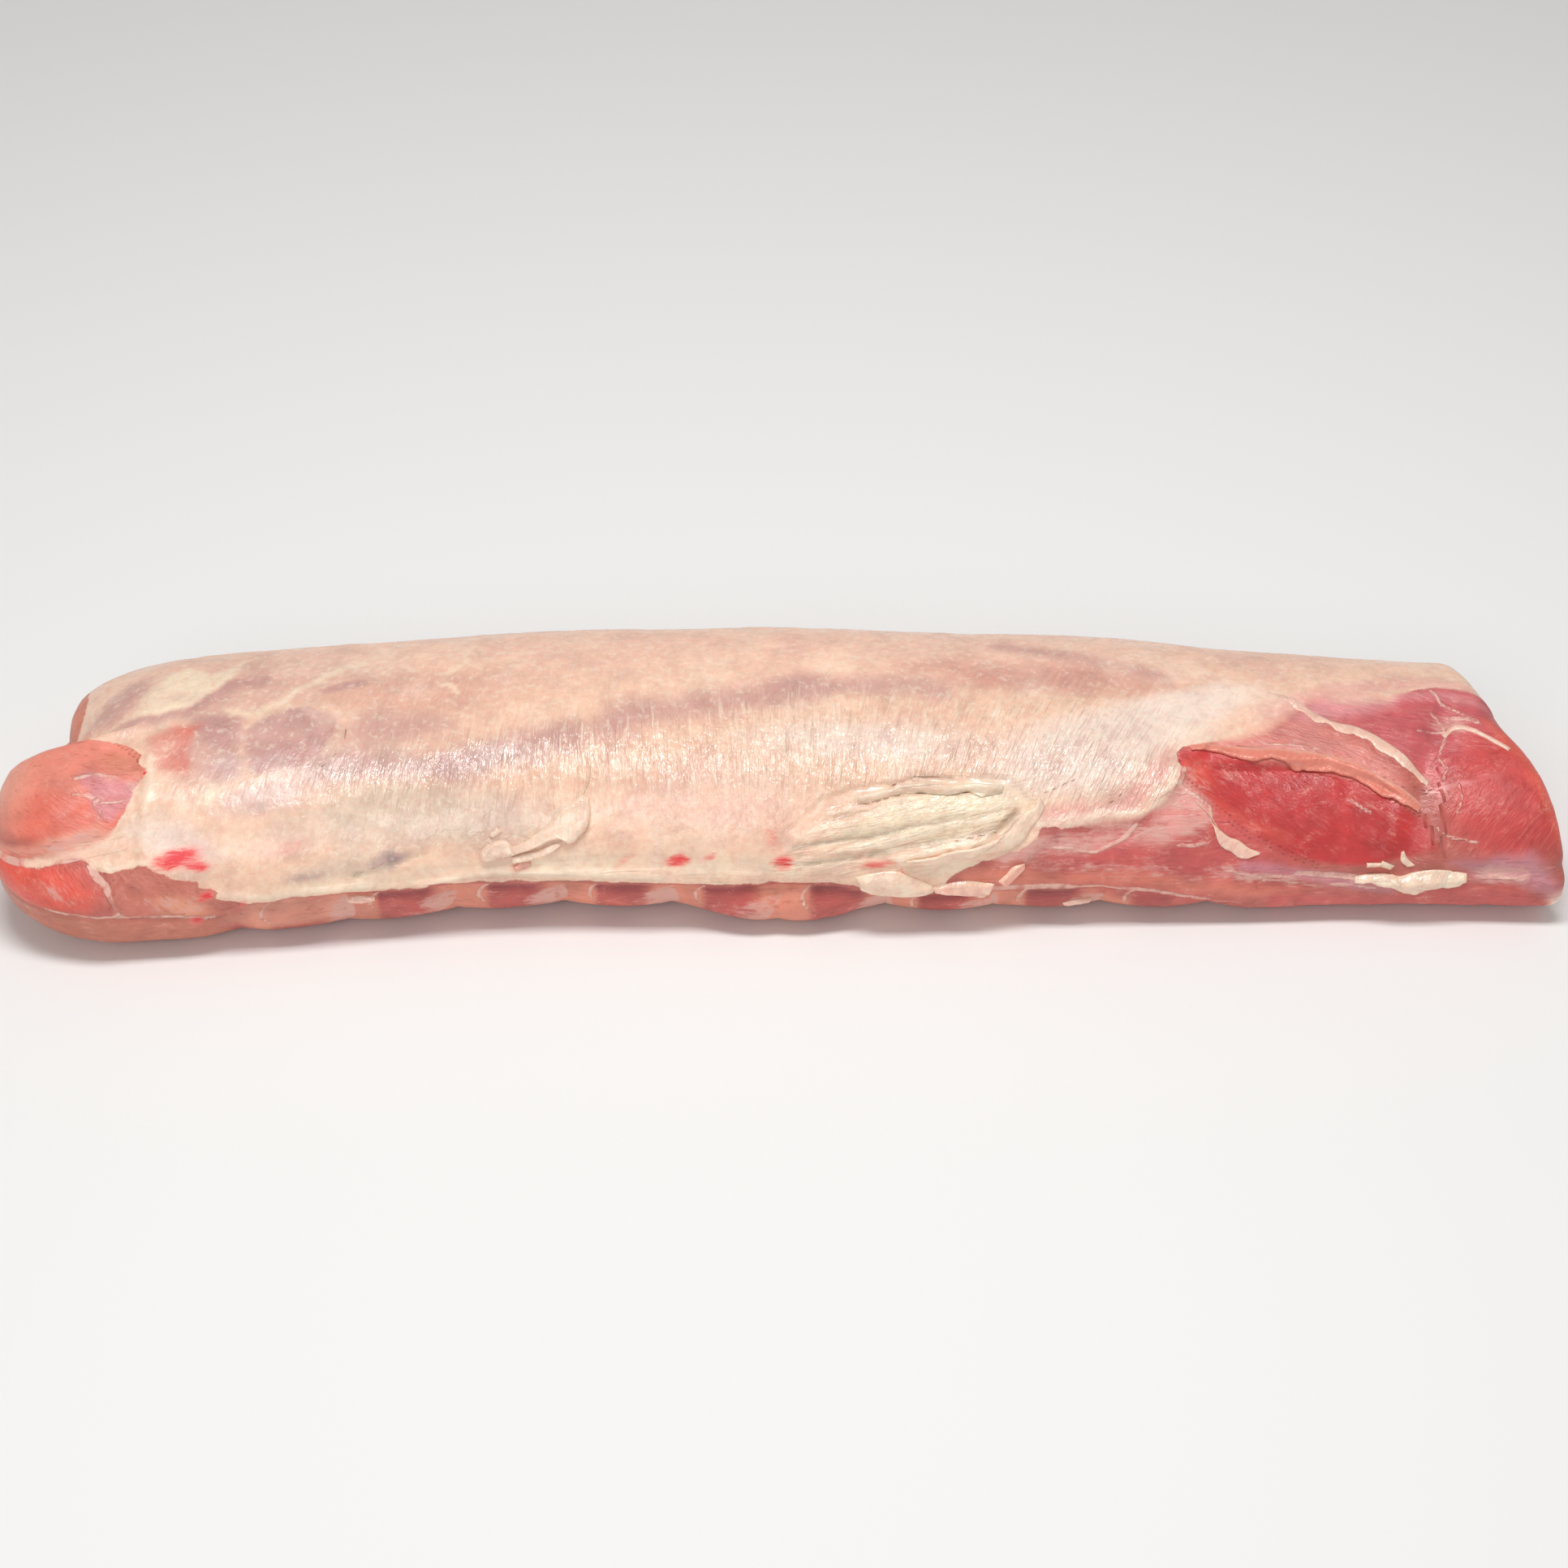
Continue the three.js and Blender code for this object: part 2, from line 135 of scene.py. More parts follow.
def along_path(x: Array, v: Array, path: Path) -> Iterator[tuple[Array, Array]]:
    """Where each place lies along and beside each part of a line through points.

    Args:
        x: places along the loin.
        v: places round the girth.
        path: the line's corners as (x, v).

    Yields:
        For each part, the share of the way along it and the distance in millimetres.
    """
    for (x0, v0), (x1, v1) in zip(path[:-1], path[1:]):
        dx, dv = x1 - x0, v1 - v0
        t = np.clip(((x - x0) * dx + (v - v0) * dv) / (dx * dx + dv * dv), 0.0, 1.0)
        yield t, np.hypot(x - x0 - t * dx, v - v0 - t * dv)


def path_distance(x: Array, v: Array, path: Path) -> Array:
    """Distance from each place to the nearest part of a line, in millimetres."""
    return np.min([distance for _, distance in along_path(x, v, path)], axis=0)


def inside_depth(x: Array, v: Array, outline: Path) -> Array:
    """Signed distance to a closed outline, positive inside.

    Args:
        x: places along the loin.
        v: places round the girth.
        outline: the outline's corners as (x, v).

    Returns:
        The distance in millimetres, negative outside.
    """
    closed = [*outline, outline[0]]
    inside = np.zeros(np.shape(x), bool)
    for (x0, v0), (x1, v1) in zip(closed[:-1], closed[1:]):
        if v0 == v1:
            continue
        crosses = (v0 > v) != (v1 > v)
        inside ^= crosses & (x < (x1 - x0) * (v - v0) / (v1 - v0) + x0)
    return np.where(inside, 1.0, -1.0) * path_distance(x, v, closed)


class Noise:
    """Smooth random relief from a table of seeded numbers, the same on each run."""

    SIDE = 32

    def __init__(self, seed: int) -> None:
        """Fills the table with numbers from a seed."""
        self.table = np.random.RandomState(seed).uniform(-1.0, 1.0, (self.SIDE,) * 3)

    def _layer(self, p: Array) -> Array:
        """One layer of noise at the points p, in units of its own grid."""
        cell = np.floor(p).astype(int)
        t = p - cell
        t = t * t * (3.0 - 2.0 * t)
        total = np.zeros(p.shape[:-1])
        for corner in np.ndindex(2, 2, 2):
            index = (cell + corner) % self.SIDE
            weight = np.prod(np.where(np.asarray(corner) == 1, t, 1.0 - t), axis=-1)
            total += weight * self.table[index[..., 0], index[..., 1], index[..., 2]]
        return total

    def __call__(self, points: Array, size: float, layers: int = 3) -> Array:
        """Noise at some points.

        Args:
            points: positions, in millimetres, in the last axis.
            size: the size of the largest lumps, in millimetres.
            layers: how many times finer and lower lumps are added.

        Returns:
            Values of about -1 to 1.
        """
        total, height = np.zeros(points.shape[:-1]), 1.0
        for layer in range(layers):
            total += height * self._layer(points * (2.0**layer / size) + 7.3 * layer)
            height *= 0.5
        return total / 1.5


# The loin's form


@dataclass(frozen=True)
class Section:
    """The loin's cross-section at stations along its length, in millimetres."""

    at: Row = (-305, -240, -180, -110, 0, 110, 200, 305)
    rib_side: Row = (-84, -79, -72, -65.5, -63.5, -62, -60.5, -60.5)
    chine_side: Row = (45, 53, 58, 63, 66, 65, 56, 53)
    crown_y: Row = (-12, -8, -4, 0, 4, 4, 3, 2)
    crown_z: Row = (63, 68, 70, 72, 73, 69.5, 63, 57)
    lip_z: Row = (20, 21, 22, 24, 25, 18, 14, 18)
    chine_z: Row = (28, 28, 29, 29, 30, 29, 27, 26)
    powers: tuple[float, float, float, float] = (3.6, 2.1, 2.3, 3.0)
    samples: int = 160

    @property
    def half_length(self) -> float:
        """Half of the length that the stations span."""
        return self.at[-1]

    def outline(self, x: float) -> tuple[Array, Array, Array]:
        """The closed outline at x, from the underside up the rib side and over the crown.

        Args:
            x: the place along the loin.

        Returns:
            The points' y, their z and their arc length v.
        """
        read = lambda values: float(curve_through(self.at, values, np.float64(x)))
        rib, chine = read(self.rib_side), read(self.chine_side)
        crown_y, crown_z = read(self.crown_y), read(self.crown_z)
        lip_z, chine_z = read(self.lip_z), read(self.chine_z)
        angle = np.linspace(0.0, math.pi / 2, self.samples + 1)
        rise, fall = np.sin(angle), np.abs(np.cos(angle))
        p = [2.0 / power for power in self.powers]
        quarters = (
            (crown_y + (rib - crown_y) * rise ** p[0], lip_z * (1 - fall ** p[0])),
            (crown_y + (rib - crown_y) * fall ** p[1], lip_z + (crown_z - lip_z) * rise ** p[1]),
            (crown_y + (chine - crown_y) * rise ** p[2], chine_z + (crown_z - chine_z) * fall ** p[2]),
            (crown_y + (chine - crown_y) * fall ** p[3], chine_z * (1 - rise ** p[3])),
        )
        y = np.concatenate([q[0][:-1] for q in quarters] + [quarters[-1][0][-1:]])
        z = np.concatenate([q[1][:-1] for q in quarters] + [quarters[-1][1][-1:]])
        v = np.concatenate([[0.0], np.cumsum(np.hypot(np.diff(y), np.diff(z)))])
        return y, z, v - v[self.samples]


class Skin:
    """The plain surface of the loin, read at places (x, v)."""

    STATIONS = 257
    LOWEST_V = -110.0
    HIGHEST_V = 290.0
    STEP_V = 0.5

    def __init__(self, section: Section, facets: Sequence[int]) -> None:
        """Tabulates the surface.

        Args:
            section: the cross-section.
            facets: how many facets the four quarters have, from the rib side over the crown.
        """
        self.section = section
        self.x = np.linspace(-section.half_length, section.half_length, self.STATIONS)
        self.v = np.arange(self.LOWEST_V, self.HIGHEST_V, self.STEP_V)
        rows, corners = [], []
        for x in self.x:
            y, z, v = section.outline(x)
            rows.append(np.stack([np.interp(self.v, v, y), np.interp(self.v, v, z)], -1))
            marks = [v[(order * section.samples) % (4 * section.samples)] for order in (1, 2, 3, 0)]
            ends = [marks[1], marks[2], v[-1], 0.0]
            corners.append(
                np.concatenate(
                    [np.linspace(a, b, n, endpoint=False) for a, b, n in zip(marks, ends, facets)]
                )
            )
        self.table = np.array(rows)
        self.corner_v = np.array(corners)

    def corners(self, x: Array) -> Array:
        """Arc length v of each corner of the mesh round the girth, at its own x."""
        p = np.clip((x - self.x[0]) / (self.x[1] - self.x[0]), 0, self.STATIONS - 1.001)
        i = p.astype(int)
        t = p - i
        k = np.arange(self.corner_v.shape[1])
        return self.corner_v[i, k] * (1 - t) + self.corner_v[i + 1, k] * t

    def point(self, x: Array, v: Array) -> tuple[Array, Array, Array, Array]:
        """The surface at places (x, v).

        Args:
            x: places along the loin.
            v: places round the girth.

        Returns:
            y and z of the points, and y and z of the outward normals.
        """
        p = np.clip((x - self.x[0]) / (self.x[1] - self.x[0]), 0, self.STATIONS - 1.001)
        q = np.clip((v - self.v[0]) / self.STEP_V, 0, len(self.v) - 2.001)
        i, j = p.astype(int), q.astype(int)
        s, t = (p - i)[..., None], (q - j)[..., None]
        low = self.table[i, j] * (1 - s) + self.table[i + 1, j] * s
        high = self.table[i, j + 1] * (1 - s) + self.table[i + 1, j + 1] * s
        place, along = low * (1 - t) + high * t, high - low
        length = np.maximum(np.hypot(along[..., 0], along[..., 1]), 1e-9)
        return place[..., 0], place[..., 1], -along[..., 1] / length, along[..., 0] / length


@dataclass(frozen=True)
class Spot:
    """An ellipse on the skin: its middle, half sizes, tilt and height or strength."""

    x: float
    v: float
    half_length: float
    half_width: float
    height: float = 1.0
    tilt: float = 0.0
    rim: float = 1.0

    def share(self, x: Array, v: Array) -> Array:
        """1 in the middle, 0 at the rim; a small rim value gives a sharp border."""
        along, across = turned(x - self.x, v - self.v, self.tilt)
        r = np.hypot(along / self.half_length, across / self.half_width)
        return smooth((1.0 - r) / self.rim)


def haze(x: float, v: float, half_length: float, half_width: float, tilt: float = 0.0) -> Spot:
    """A spot that fades out over nearly its whole radius."""
    return Spot(x, v, half_length, half_width, tilt=tilt, rim=0.9)


@dataclass(frozen=True)
class Area:
    """A closed outline on the skin, with a border that is soft over a few millimetres."""

    outline: Path
    rim: float = 1.5

    def share(self, x: Array, v: Array) -> Array:
        """1 well inside the outline, 0 well outside."""
        return smooth(0.5 + 0.5 * inside_depth(x, v, self.outline) / self.rim)


@dataclass(frozen=True)
class Stroke:
    """A soft band along a line on the skin: its path and half width."""

    path: Path
    width: float

    def share(self, x: Array, v: Array) -> Array:
        """1 on the line, 0 at the half width."""
        return smooth(1 - path_distance(x, v, self.path) / self.width)


@dataclass(frozen=True)
class Groove(Stroke):
    """A long hollow or ridge: a stroke with a depth, which counts upwards for a ridge."""

    depth: float


Shape = Spot | Area | Stroke


@dataclass(frozen=True)
class Relief:
    """What the real surface adds to the plain section: the same forms as the solid has, and finer ones."""

    fat_edge_x: Row = (-222, -205, -181, -130, -73, -39, 20, 36, 66, 115, 141, 162, 185)
    fat_edge_v: Row = (8, 4, 5, 4, 1, 0, 1, -3, 0, 4, 3, -2, -2)
    strip_start: Span = (-226.0, -214.0)
    strip_end: Span = (182.0, 166.0)
    strip_lip: Span = (0.0, 2.4)
    strip_foot: Span = (34.0, 17.0)
    strip_step: float = 3.0
    lobe: float = 2.6
    lobe_power: float = 0.7
    lobe_tip: float = -128.0
    rib_pitch: float = 41.5
    step_rim: Span = (0.0, 4.0)
    chine_edge: float = 168.0
    chine_foot: Span = (40.0, 28.0)
    chine_step: float = 2.0
    blade_edge: Triple = (-246.0, 0.9, 24.0)
    blade_rim: Span = (-2.0, 2.0)
    blade_top: Span = (84.0, 78.0)
    blade_step: float = 1.6
    lean_edge_x: Row = (77, 96, 106, 133, 149, 166, 196, 216, 300)
    lean_edge_v: Row = (0, 22, 29, 33, 47, 71, 88, 92, 92)
    lean_start: Span = (77.0, 91.0)
    lean_foot: Span = (-80.0, -50.0)
    lean_step: float = 1.3
    pocket_x: Row = (152, 165, 183, 209, 227, 243)
    pocket_top: Row = (60, 57, 58, 59, 51, 38)
    pocket_foot: Row = (53, 38, 22, 16, 15, 30)
    pocket_start: Span = (152.0, 166.0)
    pocket_end: Span = (243.0, 231.0)
    pocket_drop: float = 14.0
    pocket_depth: float = 3.2
    fold: Spot = Spot(52, 27, 70, 20, 1.1)
    fold_rise: float = 0.26
    fold_pitch: float = 18.0
    hills: tuple[Spot, ...] = (
        Spot(-3, -15, 40, 15, 6.5),
        Spot(-276, 10, 38, 18, 3.0),
        Spot(-276, 55, 34, 26, 2.4),
        Spot(280, 42, 30, 40, 2.6),
    )
    grooves: tuple[Groove, ...] = tuple(Groove(*row) for row in (
        (((-240, 40), (-263, 31), (-304, 20)), 8, 2.2),
        (((-262, 88), (-276, 84), (-296, 80)), 8, 2.6),
        (((256, 78), (247, 58), (243, 38), (238, 18)), 9, 2.0),
        (((186, 7), (240, 10), (298, 8)), 7, 1.6),
    ))
    waves: tuple[tuple[float, float, float, float], ...] = (
        (47, 61, 0.9, 0.4),
        (29, -37, 0.5, 2.1),
        (17, 83, 0.3, 4.0),
    )
    ledges: tuple[Groove, ...] = tuple(Groove(*row) for row in (
        (((24, 36), (34, 38), (44, 42), (56, 43), (68, 43.5), (78, 43)), 3.6, 0.7),
        (((72, 44), (78, 43), (84, 43.5)), 3.0, 0.9),
        (((26, 16), (36, 18.5), (39, 20), (52, 24.5), (63, 27), (70, 29.6), (80, 31.6)), 3.0, 0.8),
        (((43, 12), (53, 15.6), (64, 18.6), (75, 20.6)), 3.2, 0.8),
        (((3, 20.5), (14, 23.6), (26, 27), (38, 32), (52, 35)), 2.4, 0.6),
        (((7, 12), (21, 15.4), (30, 17.6)), 2.4, 0.8),
        (((22, 22), (40, 27.4), (58, 31.4), (76, 34)), 1.8, 0.6),
        (((14, 30), (26, 32), (38, 36), (52, 37.4)), 1.6, 0.5),
        (((-140, 4), (-119, 8), (-104, 7.5), (-80, 5), (-50, 3)), 3.5, 0.8),
        (((27, 11), (39, 14), (52, 17), (66, 20), (77, 22)), 3.0, 0.8),
        (((-216, 9), (-200, 6), (-180, 7), (-160, 7)), 3.0, 0.8),
        (((-260, 24), (-256, 22), (-244, 24), (-236, 21)), 2.6, 0.7),
        (((-244, 44), (-243, 58), (-244, 68)), 3.0, 0.7),
        (((140, 36), (147, 44), (149, 54)), 4.0, 0.9),
        (((96, 30), (108, 31), (122, 34), (138, 34)), 3.5, 0.9),
        (((188, 9), (202, 8), (221, 6), (262, 7), (284, 6)), 3.0, 1.0),
    ))
    creases: tuple[Groove, ...] = tuple(Groove(*row) for row in (
        (((26, 33.5), (33, 35), (46, 39), (60, 39), (70, 40.5), (76, 39.5), (82, 40.5)), 1.8, 1.0),
        (((39, 40.5), (47, 45), (57, 46), (63, 45)), 1.6, 0.7),
        (((33, 14), (46, 17.5), (56, 20), (63, 22), (72, 24), (81, 27), (87, 32)), 3.4, 0.9),
        (((10, 17.6), (28, 20.6), (36, 22.6), (48, 26.4), (61, 28.6), (70, 30.6), (81, 33)), 2.0, 0.8),
        (((-4, 8.6), (7, 9.6), (23, 11.8), (38, 14.6)), 2.0, 0.8),
        (((2, 16), (19, 19.4), (30, 24.4), (46, 29), (62, 32)), 1.6, 0.7),
        (((12, 26), (26, 29.6), (40, 34), (56, 36.4)), 1.8, 0.6),
        (((4, 12.6), (20, 13.6), (34, 16.4)), 1.6, 0.6),
        (((-165, 11.5), (-157, 13), (-147, 15.5), (-139, 18)), 2.2, 0.6),
        (((-262, 22), (-258, 16), (-256, 8), (-253, 4)), 2.0, 0.7),
        (((-290, 4), (-267, 3), (-240, 1), (-219, -2)), 1.8, 0.8),
        (((-275, 44), (-264, 50), (-254, 52)), 2.0, 0.5),
    ))

    def fat_edge(self, x: Array) -> Array:
        """Arc length v of the fat's lower edge on the rib side."""
        return np.interp(x, self.fat_edge_x, self.fat_edge_v)

    def lobes(self, x: Array) -> Array:
        """0 at each rib mark and 1 in the middle of the meat between two of them."""
        return np.abs(np.sin(math.pi * (x - self.lobe_tip) / self.rib_pitch)) ** self.lobe_power

    def _strip(self, x: Array, v: Array) -> Array:
        """The rib meat is set back under the fat, with one lobe between each two ribs."""
        along = rise(x, self.strip_start) * rise(x, self.strip_end)
        under = self.fat_edge(x) - v
        down = rise(under, self.strip_lip) * rise(under, self.strip_foot)
        return along * down * (self.lobe * self.lobes(x) - self.strip_step)

    def _pocket(self, x: Array, v: Array) -> Array:
        """The recess under the free edge of the thin muscle at the sirloin end."""
        top = np.interp(x, self.pocket_x, self.pocket_top)
        share = (top - v) / (top - np.interp(x, self.pocket_x, self.pocket_foot))
        ends = rise(x, self.pocket_start) * rise(x, self.pocket_end)
        sunk = -self.pocket_depth * ends * smooth(share * self.pocket_drop) * (1 - share)
        return np.where((share > 0) & (share < 1), sunk, 0.0)

    def _trimmed(self, x: Array, v: Array) -> Array:
        """Where the fat is trimmed off the lean, at both ends and on the chine side."""
        start, slope, edge_v = self.blade_edge
        edge = start + (v - edge_v) * slope * (v < edge_v)
        blade = self.blade_step * rise(edge - x, self.blade_rim) * rise(v, self.blade_top)
        line = np.interp(x, self.lean_edge_x, self.lean_edge_v)
        sirloin = self.lean_step * rise(line - v, self.step_rim) * rise(x, self.lean_start)
        past = v - self.chine_edge
        chine = self.chine_step * rise(past, self.step_rim) * rise(past, self.chine_foot)
        return -(blade + sirloin * rise(v, self.lean_foot) + chine)

    def _folds(self, x: Array, v: Array) -> Array:
        """Broad, oblique folds of loose fat."""
        rise = v - self.fold.v - (x - self.fold.x) * self.fold_rise
        return self.fold.height * np.sin(2 * math.pi * rise / self.fold_pitch) * self.fold.share(x, v)

    def pleats(self, x: Array, v: Array) -> Array:
        """Height of the narrow ridges and creases."""
        ledges = sum(line.depth * line.share(x, v) for line in self.ledges)
        return ledges - sum(line.depth * line.share(x, v) for line in self.creases)

    def height(self, x: Array, v: Array) -> Array:
        """Height of the real surface over the plain section.

        Args:
            x: places along the loin.
            v: places round the girth.

        Returns:
            The heights in millimetres.
        """
        total = self._strip(x, v) + self._pocket(x, v) + self._trimmed(x, v) + self._folds(x, v)
        total = total + sum(hill.height * hill.share(x, v) for hill in self.hills)
        return total - sum(line.depth * line.share(x, v) for line in self.grooves) + self.pleats(x, v)

    def wave(self, x: Array, y: Array, z: Array) -> Array:
        """Long, low waves over the whole loin."""
        return sum(
            height * np.sin(x / along + shift) * np.cos((y + z) / girth + shift * 2)
            for along, girth, height, shift in self.waves
        )


@dataclass(frozen=True)
class EndFace:
    """One end of the loin: where its face lies and how it rounds into the sides.

    The depths of the rounding, along the loin and towards the middle, are given at places round the girth:
    whole numbers are the borders of the section's quarters.
    """

    side: int
    axis: Pair
    face: Callable[[Array, Array], Array]
    at: Row
    axial: Row
    radial: Row


BLADE_X, SIRLOIN_X = -306.0, 302.5  # where each face is at its longest
BLADE_CUT = 23.0  # how much shorter the muscle on the chine side is
BLADE_STEP: tuple[Span, Span] = ((-26.5, -17.5), (6.0, 28.0))  # across and upwards
SIRLOIN_SLANT, SIRLOIN_TIP_Y = -0.335, -60.5
FACE_WAVE = 1.2


def blade_face(y: Array, z: Array) -> Array:
    """Place along X of the blade end, where the muscle on the chine side is cut shorter."""
    cut = BLADE_CUT * rise(y, BLADE_STEP[0]) * rise(z, BLADE_STEP[1])
    return BLADE_X + cut + FACE_WAVE * np.sin(y / 11) * np.sin(z / 13 + 1)


def sirloin_face(y: Array, z: Array) -> Array:
    """Place along X of the sirloin end, which is cut at a slant."""
    slant = SIRLOIN_SLANT * (y - SIRLOIN_TIP_Y)
    return SIRLOIN_X + slant + FACE_WAVE * np.sin(y / 13 + 1) * np.sin(z / 12)


BLADE_END = EndFace(
    side=-1,
    axis=(-22.0, 36.0),
    face=blade_face,
    at=(0, 0.5, 0.8, 1, 1.4, 2, 2.5, 3, 3.5, 4),
    axial=(46, 26, 24, 38, 48, 30, 14, 16, 50, 46),
    radial=(32, 29, 24, 24, 26, 20, 12, 14, 34, 32),
)
SIRLOIN_END = EndFace(
    side=1,
    axis=(-6.0, 31.0),
    face=sirloin_face,
    at=(0, 1, 1.6, 2, 3, 4),
    axial=(7, 10, 6, 6, 6, 7),
    radial=(7, 11, 7, 7, 6, 7),
)


@dataclass
class Grid:
    """The loin's points in rings: their positions, arc length v and depth in from the rim of an end."""

    position: Array
    v: Array
    inset: Array


@dataclass(frozen=True)
class LoinForm:
    """The dense surface of the loin."""

    section: Section = Section()
    relief: Relief = Relief()
    facets: tuple[int, int, int, int] = (74, 44, 30, 52)
    body_rows: int = 364
    round_rows: int = 16
    face_rows: int = 24
    rest_depth: float = 0.5
    end_reach: float = 25.0
    slant_reach: Pair = (0.2, 0.3)
    even_reach: int = 5
    relax_passes: int = 8

    def skin(self) -> Skin:
        """The table of the plain surface."""
        return Skin(self.section, self.facets)

    def surface(self, skin: Skin, x: Array, v: Array, lift: Array | float = 0.0) -> Array:
        """Points of the real surface.

        Args:
            skin: the plain surface.
            x: places along the loin.
            v: places round the girth.
            lift: height over the real surface, in millimetres.

        Returns:
            The points' positions, in the last axis.
        """
        y, z, normal_y, normal_z = skin.point(x, v)
        height = lift + self.relief.height(x, v) + self.relief.wave(x, y, z)
        return np.stack([x, y + normal_y * height, z + normal_z * height], -1)

    def _evened(self, values: Array) -> Array:
        """Values round the rim, each the mean of its neighbours."""
        steps = range(-self.even_reach, self.even_reach + 1)
        return np.mean([np.roll(values, step) for step in steps], axis=0)

    def _relaxed(self, rows: list[Array]) -> list[Array]:
        """Rings whose rows are drawn towards their neighbours, so that none overlaps the next."""
        table = np.array(rows)
        for _ in range(self.relax_passes):
            table[1:-1] = (table[:-2] + 2 * table[1:-1] + table[2:]) / 4
        return list(table)

    def _end(self, skin: Skin, end: EndFace) -> list[list[Array]]:
        """Rings of one end, from the middle of its face outwards.

        Args:
            skin: the plain surface.
            end: the end's form.

        Returns:
            The rings' positions, their arc lengths and their insets.
        """
        count = sum(self.facets)
        start = np.full(count, end.side * (self.section.half_length - self.end_reach))
        quarter = np.concatenate([order + np.arange(n) / n for order, n in enumerate(self.facets)])
        depths = [self._evened(np.interp(quarter, end.at, values)) for values in (end.axial, end.radial)]
        (axial, radial), axis = depths, np.array(end.axis)
        v = skin.corners(start)
        rim = self.surface(skin, start, v)[:, 1:]
        reach = np.hypot(*(rim - axis).T)
        rings, lengths, insets = [], [], []

        def towards(edge: Array, share: Array, back: Array) -> Array:
            """Points at a share of the way from the axis to the edge."""
            place = axis + (edge - axis) * share[:, None]
            x = end.face(place[:, 0], place[:, 1]) - end.side * back
            return np.column_stack([x, place])

        for row in range(1, self.face_rows + 1):
            share = (1 - radial / reach) * row / self.face_rows
            rings.append(towards(rim, share, np.zeros(count)))
            lengths.append(v)
            insets.append(reach * (1 - share))
        for row in range(1, self.round_rows + 1):
            angle = math.pi / 2 * row / self.round_rows
            share = 1 - radial / reach * (1 - math.sin(angle))
            back = axial * (1 - math.cos(angle))
            x = towards(rim, share, back)[:, 0]
            corner = skin.corners(x)
            rings.append(towards(self.surface(skin, x, corner)[:, 1:], share, back))
            lengths.append(corner)
            insets.append(reach * (1 - share))
        return [self._relaxed(rows) for rows in (rings, lengths, insets)]

    def grid(self, skin: Skin) -> Grid:
        """All rings from the blade end to the sirloin end."""
        rings, lengths, insets = self._end(skin, BLADE_END)
        sirloin = self._end(skin, SIRLOIN_END)
        first, last = rings[-1][:, 0], sirloin[0][-1][:, 0]
        for row in range(1, self.body_rows):
            share = row / self.body_rows
            x = first.mean() + (last.mean() - first.mean()) * share
            x = x + (first - first.mean()) * max(0.0, 1 - share / self.slant_reach[0]) ** 2
            x = x + (last - last.mean()) * max(0.0, 1 - (1 - share) / self.slant_reach[1]) ** 2
            corner = skin.corners(x)
            rings.append(self.surface(skin, x, corner))
            lengths.append(corner)
            insets.append(np.zeros(len(x)))
        return Grid(*(np.array(rows + end[::-1]) for rows, end in zip((rings, lengths, insets), sirloin)))

    def poles(self) -> tuple[Array, Array]:
        """The middle points of the two end faces, the blade end's first."""
        points = []
        for end in (BLADE_END, SIRLOIN_END):
            y, z = end.axis
            points.append(np.array([float(end.face(np.float64(y), np.float64(z))), y, z]))
        return points[0], points[1]


# Meshes


def grid_normals(position: Array) -> Array:
    """Outward unit normals of a closed grid of rings."""
    along = np.gradient(position, axis=0)
    around = np.roll(position, -1, axis=1) - np.roll(position, 1, axis=1)
    normal = np.cross(around, along)
    return normal / np.maximum(np.linalg.norm(normal, axis=-1, keepdims=True), 1e-9)


def closed_faces(rings: int, around: int) -> list[tuple[int, ...]]:
    """Faces of rings that are closed by a point at each end.

    Args:
        rings: how many rings there are.
        around: how many points each ring has.

    Returns:
        Faces over the points in the order: rings, first pole, last pole.
    """
    faces = []
    first, last = rings * around, rings * around + 1
    for i in range(around):
        j = (i + 1) % around
        faces.append((first, i, j))
        faces.append((last, (rings - 1) * around + j, (rings - 1) * around + i))
    for ring in range(rings - 1):
        a, b = ring * around, (ring + 1) * around
        for i in range(around):
            j = (i + 1) % around
            faces.append((a + i, b + i, b + j, a + j))
    return faces


def link(name: str, data: bpy.types.ID) -> Piece:
    """A new object with its data, in the scene."""
    piece = bpy.data.objects.new(name, data)
    bpy.context.scene.collection.objects.link(piece)
    return piece


def make_object(name: str, points: Array, faces: list[tuple[int, ...]]) -> Piece:
    """A smooth mesh object in the frame, from points in millimetres.

    Args:
        name: the piece's name.
        points: the vertices.
        faces: the faces, as indices.

    Returns:
        The new object.
    """
    mesh = bpy.data.meshes.new(name)
    placed = (np.asarray(points) - np.array(ORIGIN)) * MM
    mesh.from_pydata(placed.tolist(), [], faces)
    mesh.validate()
    mesh.shade_smooth()
    return link(name, mesh)


def face_outwards(piece: Piece) -> None:
    """Turns a closed mesh's faces outwards if its signed volume is negative."""
    mesh = piece.data
    mesh.calc_loop_triangles()
    corners = np.empty(len(mesh.loop_triangles) * 3, np.int32)
    mesh.loop_triangles.foreach_get("vertices", corners)
    places = np.empty(len(mesh.vertices) * 3, np.float32)
    mesh.vertices.foreach_get("co", places)
    a, b, c = places.reshape(-1, 3)[corners.reshape(-1, 3)].transpose(1, 0, 2)
    if float(np.einsum("ij,ij->", a, np.cross(b, c))) < 0:
        mesh.flip_normals()


